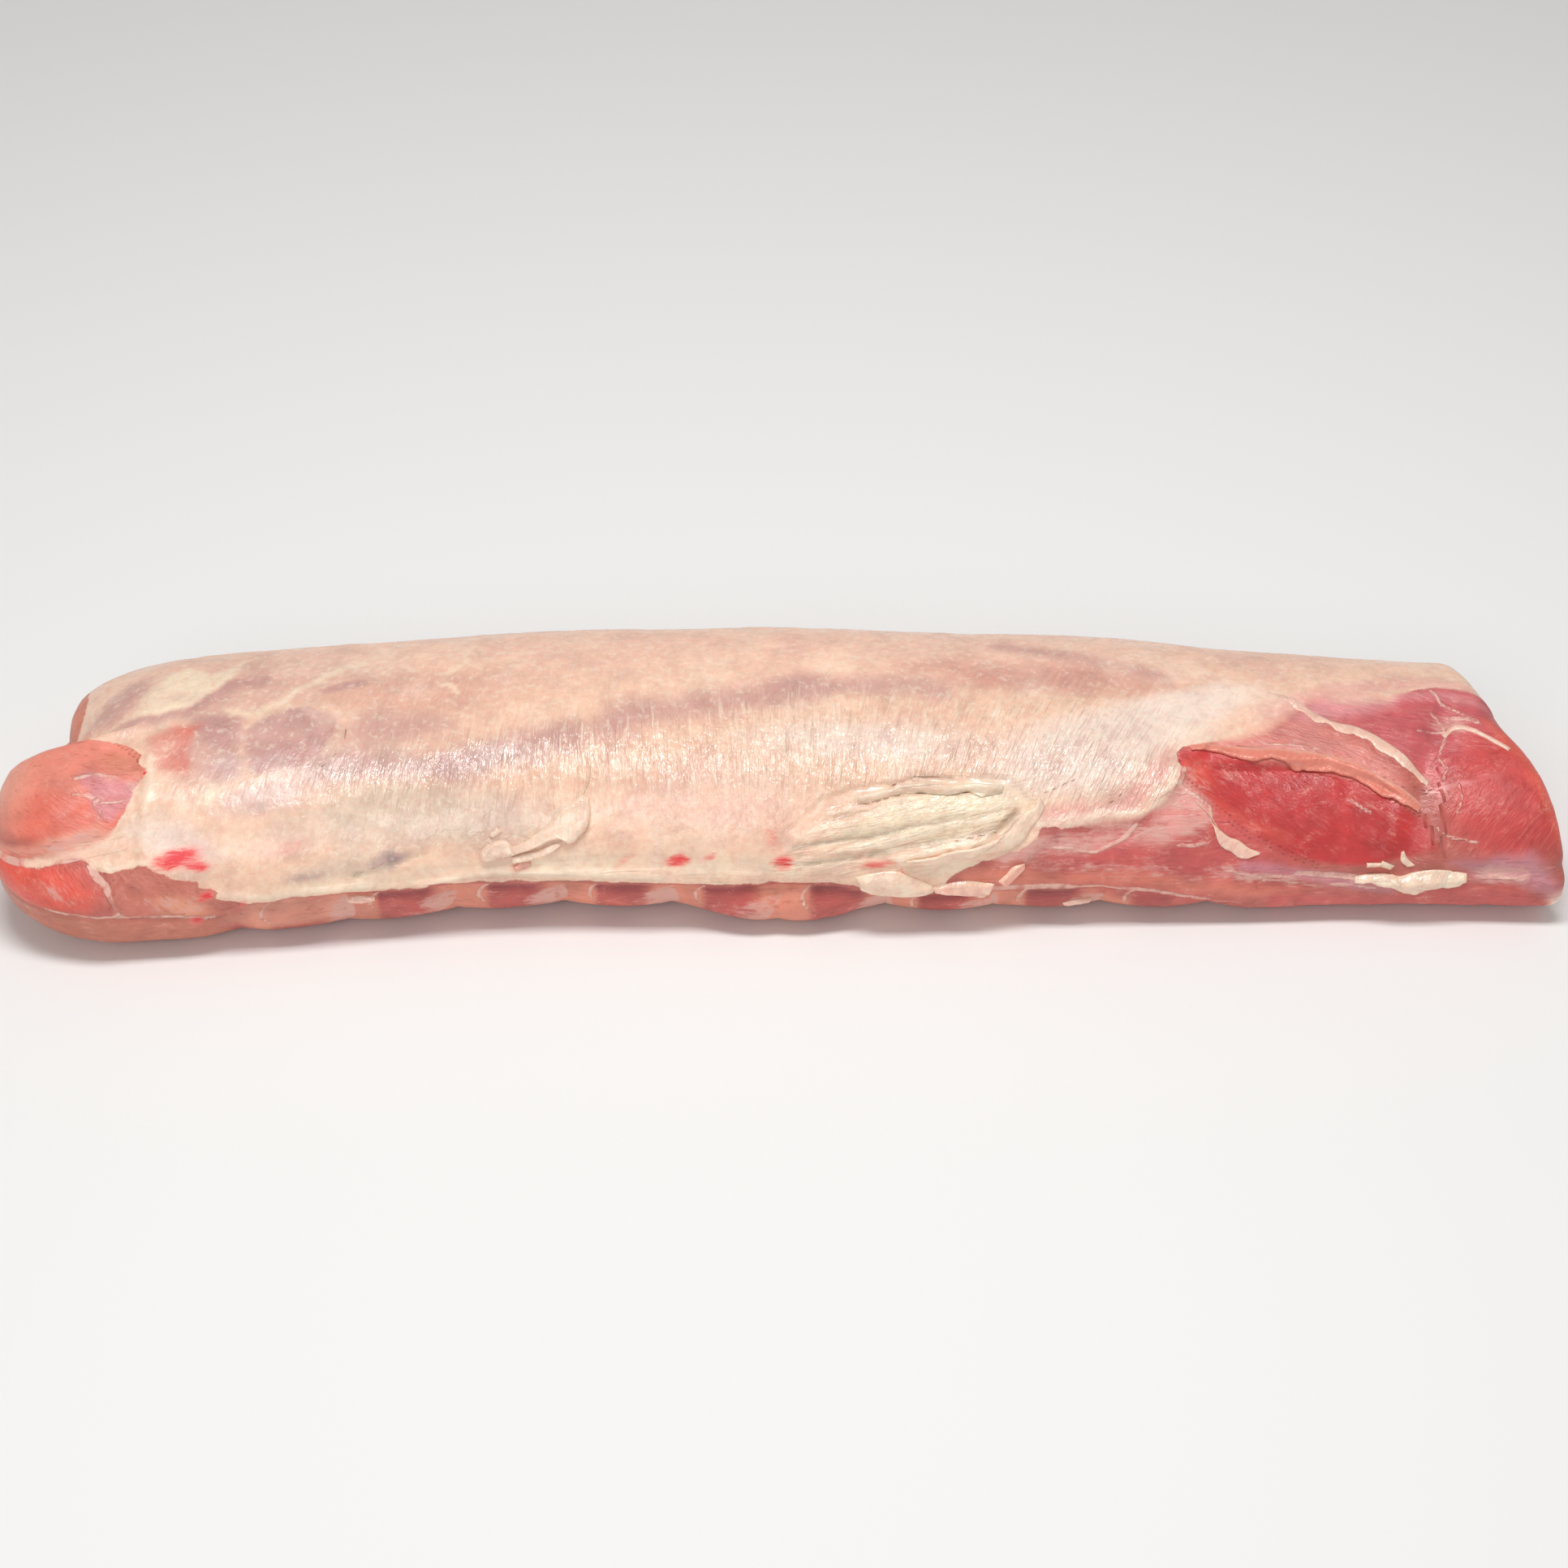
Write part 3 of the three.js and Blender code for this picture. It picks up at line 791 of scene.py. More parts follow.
def add_values(piece: Piece, name: str, values: Array) -> None:
    """Stores a number or a colour for each vertex.

    Args:
        piece: the mesh object.
        name: the attribute's name.
        values: one number, one place or one linear colour for each vertex.
    """
    if values.ndim == 1:
        layer = piece.data.attributes.new(name, "FLOAT", "POINT")
        layer.data.foreach_set("value", values.astype(np.float32))
        return
    if name in PLACES:
        layer = piece.data.attributes.new(name, "FLOAT_VECTOR", "POINT")
        layer.data.foreach_set("vector", (values * MM).astype(np.float32).ravel())
        return
    layer = piece.data.attributes.new(name, "FLOAT_COLOR", "POINT")
    colours = np.column_stack([values, np.ones(len(values))])
    layer.data.foreach_set("color", colours.astype(np.float32).ravel())


def join_frame(piece: Piece, material: Material) -> None:
    """Gives a piece its material, and its place in the frame.

    Args:
        piece: the piece.
        material: its finish.
    """
    piece.data.materials.append(material)
    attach(piece, BODY)
    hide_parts(NODE)


# Colours laid on the skin


class Tone(Enum):
    """The colours of the meat and the fat, in sRGB."""

    FAT = (250, 206, 178)
    FAT_PALE = (255, 226, 204)
    FAT_TOP = (250, 204, 180)
    FAT_DULL = (220, 162, 144)
    MAUVE = (210, 162, 152)
    MAUVE_DEEP = (202, 152, 146)
    LILAC = (206, 172, 168)
    CREAM = (255, 228, 198)
    GREENISH = (226, 200, 178)
    GREENISH_PALE = (255, 232, 200)
    PINK = (255, 208, 186)
    ROSE = (255, 230, 214)
    SHEER_RED = (226, 118, 104)
    SHEER_PINK = (240, 176, 164)
    VIOLET = (126, 104, 122)
    SALMON = (240, 142, 122)
    SALMON_PALE = (250, 164, 140)
    SALMON_BROWN = (222, 134, 108)
    SALMON_LOW = (238, 122, 102)
    MEMBRANE = (220, 138, 142)
    BRIGHT_RED = (240, 98, 80)
    BROWN_RED = (212, 124, 106)
    ORANGE_PALE = (240, 166, 132)
    UNDER_LEFT = (204, 122, 100)
    RIB_DARK = (194, 88, 80)
    RIB_PALE = (226, 142, 118)
    # Painted shade: the rib meat darkened just under the fat's overhanging lip.
    RIB_LIP_SHADE = (138, 40, 44)
    # Painted shade in the creases of the fat, and paler ridges: partly cream fat, partly painted highlight.
    FOLD_SHADE = (206, 186, 160)
    RIDGE_CREAM_HIGHLIGHT = (255, 234, 208)
    LEAN = (204, 92, 88)
    LEAN_ORANGE = (236, 142, 116)
    LEAN_PALE = (228, 140, 128)
    SHEER_LEAN = (236, 158, 148)
    POCKET = (198, 58, 58)
    POCKET_TIP = (226, 96, 84)
    END_RED = (204, 70, 66)
    END_GLOW = (236, 110, 90)
    UPPER_RED = (210, 98, 102)
    SIDE_RED = (206, 96, 90)
    LAVENDER = (212, 158, 172)
    HAZE = (226, 152, 152)
    CORNER_PALE = (255, 226, 206)
    UNDER = (196, 104, 92)
    STRIP_PALE = (228, 156, 132)
    BLADE_FACE = (214, 112, 98)
    SIRLOIN_FACE = (206, 100, 96)


@dataclass(frozen=True)
class Patch:
    """A patch of one colour, its shape on the skin and how strong it is in its middle."""

    tone: Tone
    shape: Shape
    strength: float = 1.0


FAT_PATCHES: tuple[Patch, ...] = tuple(Patch(*row) for row in (
    (Tone.FAT_TOP, Spot(0, 128, 420, 50, rim=0.7), 0.9),
    (Tone.FAT_DULL, haze(-70, 148, 100, 18, 2), 0.5),
    (Tone.MAUVE, haze(150, 146, 70, 14, -4), 0.5),
    (Tone.MAUVE, haze(-214, 150, 40, 14), 0.5),
    (Tone.CREAM, haze(40, 160, 120, 9, 1), 0.6),
    (Tone.FAT_DULL, Spot(100, 98, 80, 15, tilt=-3, rim=0.8), 1.0),
    (Tone.MAUVE, Stroke(((85, 120), (113, 112), (131, 106), (146, 100)), 8.0), 0.8),
    (Tone.MAUVE_DEEP, Stroke(((-66, 68), (-34, 77), (-11, 83), (8, 88)), 15.0), 0.75),
    (Tone.MAUVE, Stroke(((-4, 87), (30, 90), (60, 86)), 11.0), 0.8),
    (Tone.MAUVE_DEEP, haze(-92, 60, 36, 12, 8), 0.8),
    (Tone.LILAC, haze(-126, 52, 46, 12, 4), 0.9),
    (Tone.MAUVE, Spot(-216, 104, 80, 34, rim=0.8), 0.5),
    (Tone.FAT_DULL, Spot(-140, 90, 56, 18, rim=0.8), 0.7),
    (Tone.MAUVE, haze(-150, 72, 40, 12), 0.8),
    (Tone.LILAC, haze(-168, 56, 44, 15), 0.8),
    (Tone.MAUVE_DEEP, Spot(-191, 71, 19, 17, tilt=20, rim=0.16), 0.9),
    (Tone.LILAC, Spot(-196, 60, 12, 7, rim=0.8), 0.5),
    (Tone.MAUVE, Spot(-222, 70, 16, 20, tilt=10, rim=0.4), 0.8),
    (Tone.LILAC, Spot(-214, 60, 14, 10, rim=0.8), 0.6),
    (Tone.MAUVE_DEEP, Area(((-231, 90), (-211, 87), (-207, 74), (-216, 66), (-226, 74)), 4.0), 0.8),
    (Tone.SHEER_RED, Area(((-247, 79), (-238, 84), (-226, 84), (-232, 72), (-230, 62), (-232, 57),
        (-241, 60), (-244, 63), (-246, 74)), 3.0), 0.85),
    (Tone.MAUVE, Area(((-276, 88), (-270, 108), (-260, 121), (-251, 121), (-254, 106), (-260, 90)), 3.0),
        0.85),
    (Tone.SHEER_RED, Spot(-276, 92, 8, 7, rim=0.8), 0.5),
    (Tone.MAUVE_DEEP, Stroke(((-257, 86), (-236, 91), (-225, 98), (-217, 107), (-205, 106)), 6.0), 0.8),
    (Tone.CREAM, Area(((-257, 89), (-243, 93), (-234, 94), (-226, 101), (-217, 110), (-212, 126),
        (-218, 118), (-224, 114), (-236, 120), (-248, 118), (-254, 98)), 2.0), 1.0),
    (Tone.CREAM, Stroke(((-216, 91), (-207, 85), (-196, 92), (-190, 99), (-182, 107), (-168, 114)), 4.0),
        0.8),
    (Tone.MAUVE_DEEP, Spot(-174, 97, 12, 4.5, tilt=6, rim=0.6), 0.8),
    (Tone.CREAM, Stroke(((-136, 94), (-130, 92), (-127, 88)), 2.0), 0.8),
    (Tone.CREAM, Stroke(((-132, 101), (-126, 108), (-125, 122)), 2.0), 0.7),
    (Tone.GREENISH, Spot(-136, 32, 66, 17, tilt=-5, rim=0.6), 0.95),
    (Tone.GREENISH, Spot(-190, 30, 22, 12, rim=0.8), 0.6),
    (Tone.LILAC, Spot(-200, 46, 26, 10, rim=0.8), 0.7),
    (Tone.CREAM, Spot(-165, 9, 52, 7, rim=0.8), 0.7),
    (Tone.CREAM, Spot(-90, 10, 46, 8, rim=0.8), 0.9),
    (Tone.ROSE, Area(((-252, 36), (-240, 44), (-224, 36), (-214, 24), (-222, 20), (-240, 26)), 5.0), 0.9),
    (Tone.PINK, Spot(-198, 26, 12, 6, rim=0.7), 0.8),
    (Tone.CREAM, Spot(-222, 50, 6, 8, rim=0.8), 0.7),
    (Tone.PINK, Spot(-28, 34, 54, 24, rim=0.7), 0.8),
    (Tone.ROSE, Spot(30, 60, 70, 13, rim=0.8), 0.8),
    (Tone.CREAM, Spot(-10, 8, 60, 7, rim=0.8), 0.8),
    (Tone.GREENISH_PALE, Spot(56, 29, 52, 13, tilt=10, rim=0.5), 1.0),
    (Tone.ROSE, Spot(120, 62, 62, 24, tilt=18, rim=0.6), 0.95),
    (Tone.ROSE, Spot(156, 84, 40, 14, tilt=20, rim=0.6), 0.9),
    (Tone.SHEER_PINK, Stroke(((100, 31), (122, 36), (138, 44), (148, 55)), 9.0), 0.9),
    (Tone.SHEER_PINK, haze(190, 84, 26, 8, 25), 0.5),
    (Tone.CREAM, Spot(72, 9, 40, 6, rim=0.7), 0.9),
    (Tone.SHEER_PINK, Stroke(((186, 79), (199, 89), (215, 97), (233, 99), (256, 100), (272, 96)), 7.0), 0.7),
    (Tone.GREENISH, haze(-168, 16, 36, 9, 6), 0.8),
    (Tone.VIOLET, Spot(-152, 17, 11, 3.6, tilt=14), 0.75),
    (Tone.VIOLET, Spot(-181, 14.5, 14, 3.0, tilt=7), 0.45),
))

LEAN_PATCHES: tuple[Patch, ...] = tuple(Patch(*row) for row in (
    (Tone.SALMON, Spot(-276, 66, 60, 28, rim=0.3)),
    (Tone.SALMON_LOW, Spot(-276, 42, 46, 14, tilt=-10, rim=0.5)),
    (Tone.SALMON_PALE, haze(-300, 60, 18, 40)),
    # Pale seam tissue between the two muscles, painted lighter to cancel the shade in the seam's groove.
    (Tone.SALMON_PALE, Stroke(((-300, 24), (-280, 31), (-260, 36)), 5.0), 0.9),
    (Tone.SALMON_PALE, Spot(-272, 33, 24, 5, tilt=10, rim=0.8), 0.7),
    (Tone.SALMON_BROWN, Spot(-254, 66, 16, 8, tilt=-16, rim=0.7), 0.9),
    (Tone.SALMON_LOW, Spot(-262, 47, 12, 6, tilt=-30, rim=0.8), 0.7),
    (Tone.MEMBRANE, Area(((-272, 59), (-269, 61.5), (-262, 60), (-254, 57), (-249, 56), (-250, 49),
        (-252, 46), (-256, 40), (-261, 41), (-265, 47), (-266, 53)), 1.2), 0.85),
    (Tone.SALMON_BROWN, Area(((-330, 79), (-270, 79), (-262, 90), (-262, 190), (-330, 190)), 2.0)),
    (Tone.STRIP_PALE, Spot(-192, -3, 36, 12, rim=0.6), 0.8),
    (Tone.BRIGHT_RED, Spot(-290, 10, 36, 18, tilt=10, rim=0.5)),
    (Tone.BROWN_RED, Area(((-257, 26), (-212, 26), (-208, -2), (-255, 2)), 2.0)),
    (Tone.ORANGE_PALE, Spot(-230, 6, 14, 7, tilt=-24, rim=0.8), 0.8),
    (Tone.UNDER_LEFT, Area(((-320, 3), (-284, 4), (-262, 2), (-233, 0), (-218, -3), (-205, -40),
        (-320, -50)), 2.0)),
    (Tone.LEAN, Spot(150, 18, 62, 28, rim=0.4)),
    (Tone.LEAN_ORANGE, Stroke(((70, 6), (100, 7), (130, 8), (160, 4), (185, 1)), 7.0), 0.65),
    (Tone.SHEER_LEAN, Stroke(((84, 17), (98, 22), (112, 22), (130, 27), (146, 26)), 7.0), 0.8),
    (Tone.SHEER_LEAN, Area(((140, 46), (152, 50), (161, 43), (163, 33), (155, 28), (140, 26)), 4.0), 0.8),
    (Tone.UPPER_RED, Area(((198, 100), (300, 110), (300, 60), (250, 48), (234, 62), (214, 76)), 4.0)),
    (Tone.LEAN_PALE, Area(((150, 66), (172, 72), (196, 80), (208, 74), (224, 64), (236, 52), (243, 42),
        (228, 46), (210, 55), (190, 61), (168, 60)), 3.0), 0.8),
    (Tone.POCKET, Area(((150, 61), (163, 63), (182, 59), (206, 55), (223, 50), (245, 34), (250, 20),
        (224, 15), (205, 16), (191, 21), (176, 31), (161, 41), (151, 53)), 2.0)),
    (Tone.POCKET_TIP, haze(158, 52, 12, 10, -50), 0.9),
    (Tone.POCKET_TIP, Stroke(((158, 44), (176, 34), (192, 26)), 5.0), 0.6),
    (Tone.END_RED, Spot(280, 42, 36, 38, rim=0.5)),
    (Tone.END_GLOW, Stroke(((275, 76), (286, 58), (294, 38), (300, 20)), 6.0), 0.7),
    (Tone.HAZE, Area(((194, 80), (208, 92), (240, 94), (238, 86), (218, 80), (204, 76)), 5.0), 0.9),
    (Tone.HAZE, Stroke(((236, 92), (256, 92), (274, 88)), 5.0), 0.6),
    # A pale membrane at the sirloin end's lower corner, painted lighter to make up for the shade it lies in.
    (Tone.CORNER_PALE, Spot(299, -9, 9, 12, rim=0.8)),
    (Tone.LAVENDER, Area(((256, 14), (270, 16), (285, 17), (292, 10), (298, 2), (297, -3), (289, 1),
        (282, 5), (266, 7)), 4.0), 0.6),
    (Tone.LAVENDER, Stroke(((176, 14), (190, 12), (204, 9), (221, 6), (232, 4)), 5.0), 0.5),
    (Tone.SIDE_RED, Area(((185, 0), (240, 1), (262, 4), (279, 4), (296, -6), (296, -40), (185, -40)), 2.0)),
))


@dataclass(frozen=True)
class Line:
    """A thin line on the skin: its path and half width, which may change from its start to its end."""

    path: Path
    half_width: float
    end_width: float | None = None

    def depth(self, x: Array, v: Array) -> Array:
        """Distance into the line, in millimetres, negative outside it."""
        last = self.half_width if self.end_width is None else self.end_width
        corners = np.asarray(self.path, float)
        lengths = np.hypot(*np.diff(corners, axis=0).T)
        starts = np.concatenate([[0.0], np.cumsum(lengths)]) / lengths.sum()
        depths = []
        for (t, distance), start, end in zip(along_path(x, v, self.path), starts[:-1], starts[1:]):
            width = self.half_width + (last - self.half_width) * (start + (end - start) * t)
            depths.append(width - distance)
        return np.max(depths, axis=0)


FASCIA_LINES: tuple[Line, ...] = tuple(Line(*row) for row in (
    (((-252, 32), (-263, 30.5), (-274, 28), (-285, 24), (-296, 21), (-312, 18)), 2.6, 1.6),
    (((152, 54), (150, 47), (155, 43.5), (161, 39), (163, 33)), 0.8, 0.5),
    (((140, 40), (147, 44), (152, 43)), 0.4),
    (((-264, 24), (-261, 19), (-258, 15.5), (-256, 10), (-253, 4)), 1.5, 0.4),
    (((-219, -2), (-233, 1), (-252, 3), (-262, 3.5), (-283, 4.5)), 0.5),
    (((102, 20), (118, 19), (128, 24), (134, 31)), 0.45),
    (((-266, 53), (-260, 48.5), (-252, 49)), 0.4),
    (((-272, 52), (-266, 52), (-262, 46), (-258, 41)), 0.35),
    (((-272, 59), (-262, 60.5), (-256, 59)), 0.5),
    (((50, 0.5), (66, 1), (90, 2.5), (115, 3.4), (141, 2.2), (160, -1), (176, -3)), 1.5, 0.4),
    (((150, 22), (156, 22.5), (163, 24)), 0.7, 0.3),
    (((168, 13), (182, 10), (196, 9)), 0.5),
    (((184, 8), (196, 6), (208, 4)), 0.4),
    (((196, 11), (208, 10), (222, 7.5)), 0.9, 1.2),
    (((210, 5.5), (218, 5), (228, 3.5)), 0.4),
    (((216, 42.6), (220, 39.5), (224, 36.5)), 0.8, 0.5),
    (((186, 66), (196, 66.5), (206, 63)), 0.3),
    (((254, 95), (257, 87), (263, 82), (270, 78)), 0.6, 0.3),
    (((246, 73), (251, 72.5), (256, 73)), 0.3, 0.6),
    (((252, 83), (256, 77), (256.5, 70), (253, 62), (249, 55)), 0.5, 0.3),
    (((252, 58), (255, 54), (253, 49)), 0.35),
    (((259, 46), (259.5, 40), (257, 35)), 0.35),
    (((249, 30), (252, 27), (256, 25), (265, 22)), 0.35),
    (((260, 80), (265, 78.5), (270, 76)), 0.9, 0.4),
    (((266, 8), (276, 7), (284, 6)), 0.4),
))

# Thin dark lines in the narrowest creases: painted shade where the fat folds over.
CREASE_SHADE_LINES: tuple[Line, ...] = tuple(Line(*row) for row in (
    (((26, 33.2), (33, 34.6), (41, 37.4), (46, 38.6), (54, 39.4), (60, 38.4), (68, 40.2), (73, 39.2),
        (81, 40.4)), 0.32, 0.2),
    (((39, 40.5), (46, 44), (49, 45.4), (57, 45.6), (64, 45)), 0.22),
    (((60, 20.6), (72, 23.2), (81, 26)), 0.3, 0.15),
    (((-166, 11.5), (-159, 13.5), (-153, 16)), 0.25, 0.15),
    (((-170, 73), (-171, 64), (-178, 56)), 0.2),
    (((120, 37), (126, 40), (131, 46)), 0.2),
    (((97, 41), (104, 44), (112, 48)), 0.2),
))

STAINS: tuple[Spot, ...] = tuple(Spot(*row) for row in (
    (-231, 24.5, 16, 6.5, 1.0, 10),
    (-224, 21.5, 10, 4.0, 0.9, -12),
    (-221, 9.0, 6.0, 3.6, 1.0, 20),
    (-226, -2, 5.0, 2.6, 0.8, 0),
    (-246, 60.5, 2.4, 1.8, 1.0, 0),
    (-188, 25, 12, 5.0, 0.3, 20),
    (-290, 8, 12, 7.0, 0.45, 30),
    (-208, 3, 6.0, 3.0, 0.6, 60),
    (-102, 10, 7.0, 3.6, 0.6, 8),
    (-110, 15, 5.0, 2.0, 0.4, 10),
    (-42, 10.5, 8.0, 4.4, 0.95, 10),
    (-30, 12, 6.0, 2.4, 0.55, 24),
    (-62, 11, 10, 3.0, 0.35, 36),
    (-2, 10, 7.0, 5.6, 0.85, 0),
    (-6, 20, 6.0, 12.0, 0.3, 10),
    (34, 10.5, 13, 3.0, 0.65, 10),
    (44, 6.6, 2.6, 4.4, 0.55, 20),
))

LEAN_OUTLINES: tuple[Path, ...] = (
    ((-330, 24), (-292, 24), (-279, 28), (-268, 32), (-262, 33), (-259, 35), (-256, 38), (-252, 43),
        (-250, 48), (-249, 54), (-246, 58), (-245, 62), (-248, 66), (-248, 70), (-251, 73), (-256, 76),
        (-262, 78), (-270, 80), (-277, 81), (-284, 79), (-290, 76), (-330, 76)),
    ((-330, 19), (-292, 20), (-282, 22.5), (-274, 27), (-269, 27.5), (-265, 25), (-262, 22), (-256, 20.5),
        (-251, 21.5), (-245, 22.5), (-242, 22), (-237, 19), (-232, 17), (-227, 16), (-224, 15), (-223, 12.5),
        (-218, 12), (-216, 10.5), (-218, 7), (-216, 2), (-208, -70), (-330, -70)),
    ((58, -3), (62, 6), (68, 10), (74, 14), (81, 16.5), (92, 20.5), (96, 25), (97, 29), (105, 28), (115, 29),
        (125, 31), (133, 33), (143, 38), (149, 46), (151, 54), (150.5, 60), (153, 63), (160, 65), (174, 68),
        (185, 72), (194, 80), (203, 87), (212, 91), (226, 90), (236, 90), (246, 95), (256, 97), (274, 94),
        (330, 95), (330, -70), (58, -70)),
)

SOFTNESS: tuple[Spot, ...] = tuple(Spot(*row) for row in (
    (124, 34, 24, 10, 4.5),
    (144, 42, 9, 9, 3.0),
    (184, 76, 28, 12, 6.0, 30),
    (222, 90, 34, 10, 6.0),
    (266, 95, 26, 8, 1.6),
    (-248, 52, 10, 24, 0.9),
    (-272, 31, 30, 8, 4.0, 12),
    (-246, 22, 12, 5, 0.6),
))


@dataclass(frozen=True)
class RibPattern:
    """The pattern between two rib marks of the strip, in millimetres from each mark.

    A lobe's chance, -1 to 1, varies the pattern from lobe to lobe.
    """

    pitch: float = 41.5
    seen: float = 14.0
    arc_place: float = 9.5
    arc_bow: float = 5.5
    arc_width: float = 0.85
    veil: Span = (18.0, 38.0)
    veil_top: Pair = (0.72, 0.56)
    veil_rim: Span = (0.0, 0.3)
    tip_reach: float = 6.0
    tip_level: float = 0.55
    tip_bow: float = 9.0
    tip_gap: float = 2.0
    dark_start: Span = (11.0, 14.0)
    dark_end: Span = (37.0, 29.0)
    # Where the painted shade under the fat's lip is none and where it is full, in millimetres under the
    # fat's edge.
    deep: Span = (8.05, 1.05)

    def arc(self, place: Array, under: Array) -> Array:
        """Distance into the thin pale arc that bounds each lobe of meat."""
        bend = self.arc_place + self.arc_bow * (2 * under / self.seen - 1) ** 2
        return self.arc_width - np.abs(place - bend)

    def _past(self, place: Array) -> Array:
        """The place measured from the mark before the lobe, also just past the lobe's tip."""
        return np.where(place < self.tip_reach, place + self.pitch, place)

    def tip(self, place: Array, under: Array, chance: Array) -> Array:
        """Distance from each place to the torn end of its lobe's veil, positive before it."""
        level = under / self.seen - self.tip_level - 0.2 * chance
        return self.pitch + self.tip_gap + 1.5 * chance - self.tip_bow * level**2 - self._past(place)

    def cover(self, place: Array, under: Array, chance: Array) -> Array:
        """How strongly a pale membrane covers the meat: more towards the lobe's tip."""
        share = rise(self._past(place) - 3 * chance, self.veil)
        top = self.veil_top[0] - self.veil_top[1] * share
        below = under / self.seen - top + 0.1 * chance
        return share * rise(below, self.veil_rim) * (0.9 + 0.25 * chance)

    def dark(self, place: Array) -> Array:
        """How dark the meat is, 0 to 1: full in the lobe, none between it and the next arc."""
        return rise(place, self.dark_start) * rise(place, self.dark_end)


GRAINS: tuple[tuple[float, Path], ...] = (
    (-22, ((-330, 28), (-246, 36), (-240, 60), (-262, 82), (-330, 82))),
    (-52, ((-330, 24), (-268, 28), (-256, 20), (-256, 3), (-330, 4))),
    (-38, ((-256, 24), (-212, 18), (-210, 0), (-256, 3))),
    (-26, ((148, 62), (182, 60), (223, 50), (245, 34), (250, 20), (205, 14), (176, 28), (152, 50))),
    (-18, ((150, 112), (330, 112), (330, 60), (246, 44), (190, 64), (150, 64))),
    (52, ((252, 60), (330, 60), (330, 12), (252, 16))),
)

BLADE_SEAMS: tuple[Line, ...] = tuple(Line(*row) for row in (
    (((-16, 60), (-10, 46), (-12, 30), (0, 14)), 1.2, 0.6),
    (((12, 30), (28, 36), (44, 30)), 0.9, 0.4),
))

SIRLOIN_SEAMS: tuple[Line, ...] = tuple(Line(*row) for row in (
    (((-54, 12), (-38, 20), (-24, 34), (-16, 50)), 1.3, 0.5),
    (((14, 6), (30, 18), (36, 34)), 1.0, 0.4),
    (((-22, 12), (-4, 17), (10, 12)), 0.7, 0.3),
))

SHEATHS: tuple[tuple[Shape, float], ...] = (
    (Stroke(((84, 17), (98, 22), (112, 23), (130, 28), (146, 28)), 9.0), 0.75),
    (haze(118, 12, 56, 6), 0.5),
    (Area(((138, 50), (152, 54), (164, 44), (166, 33), (156, 24), (138, 24)), 6.0), 0.6),
    (haze(180, 9, 36, 7, -8), 0.7),
    (haze(222, 91, 34, 7), 0.7),
    (haze(-270, 33, 30, 5, 12), 0.7),
    (haze(257, 76, 15, 11, -30), 0.65),
    (haze(276, 8, 26, 9, -10), 0.7),
    (haze(190, 62, 34, 8, -12), 0.55),
    (haze(-249, 52, 7, 22), 0.7),
    (haze(-232, 7, 26, 12), 0.45),
    (haze(-277, 13, 18, 10), 0.35),
    (haze(140, 10, 40, 10), 0.4),
    (haze(165, 92, 60, 10, 12), 0.4),
)


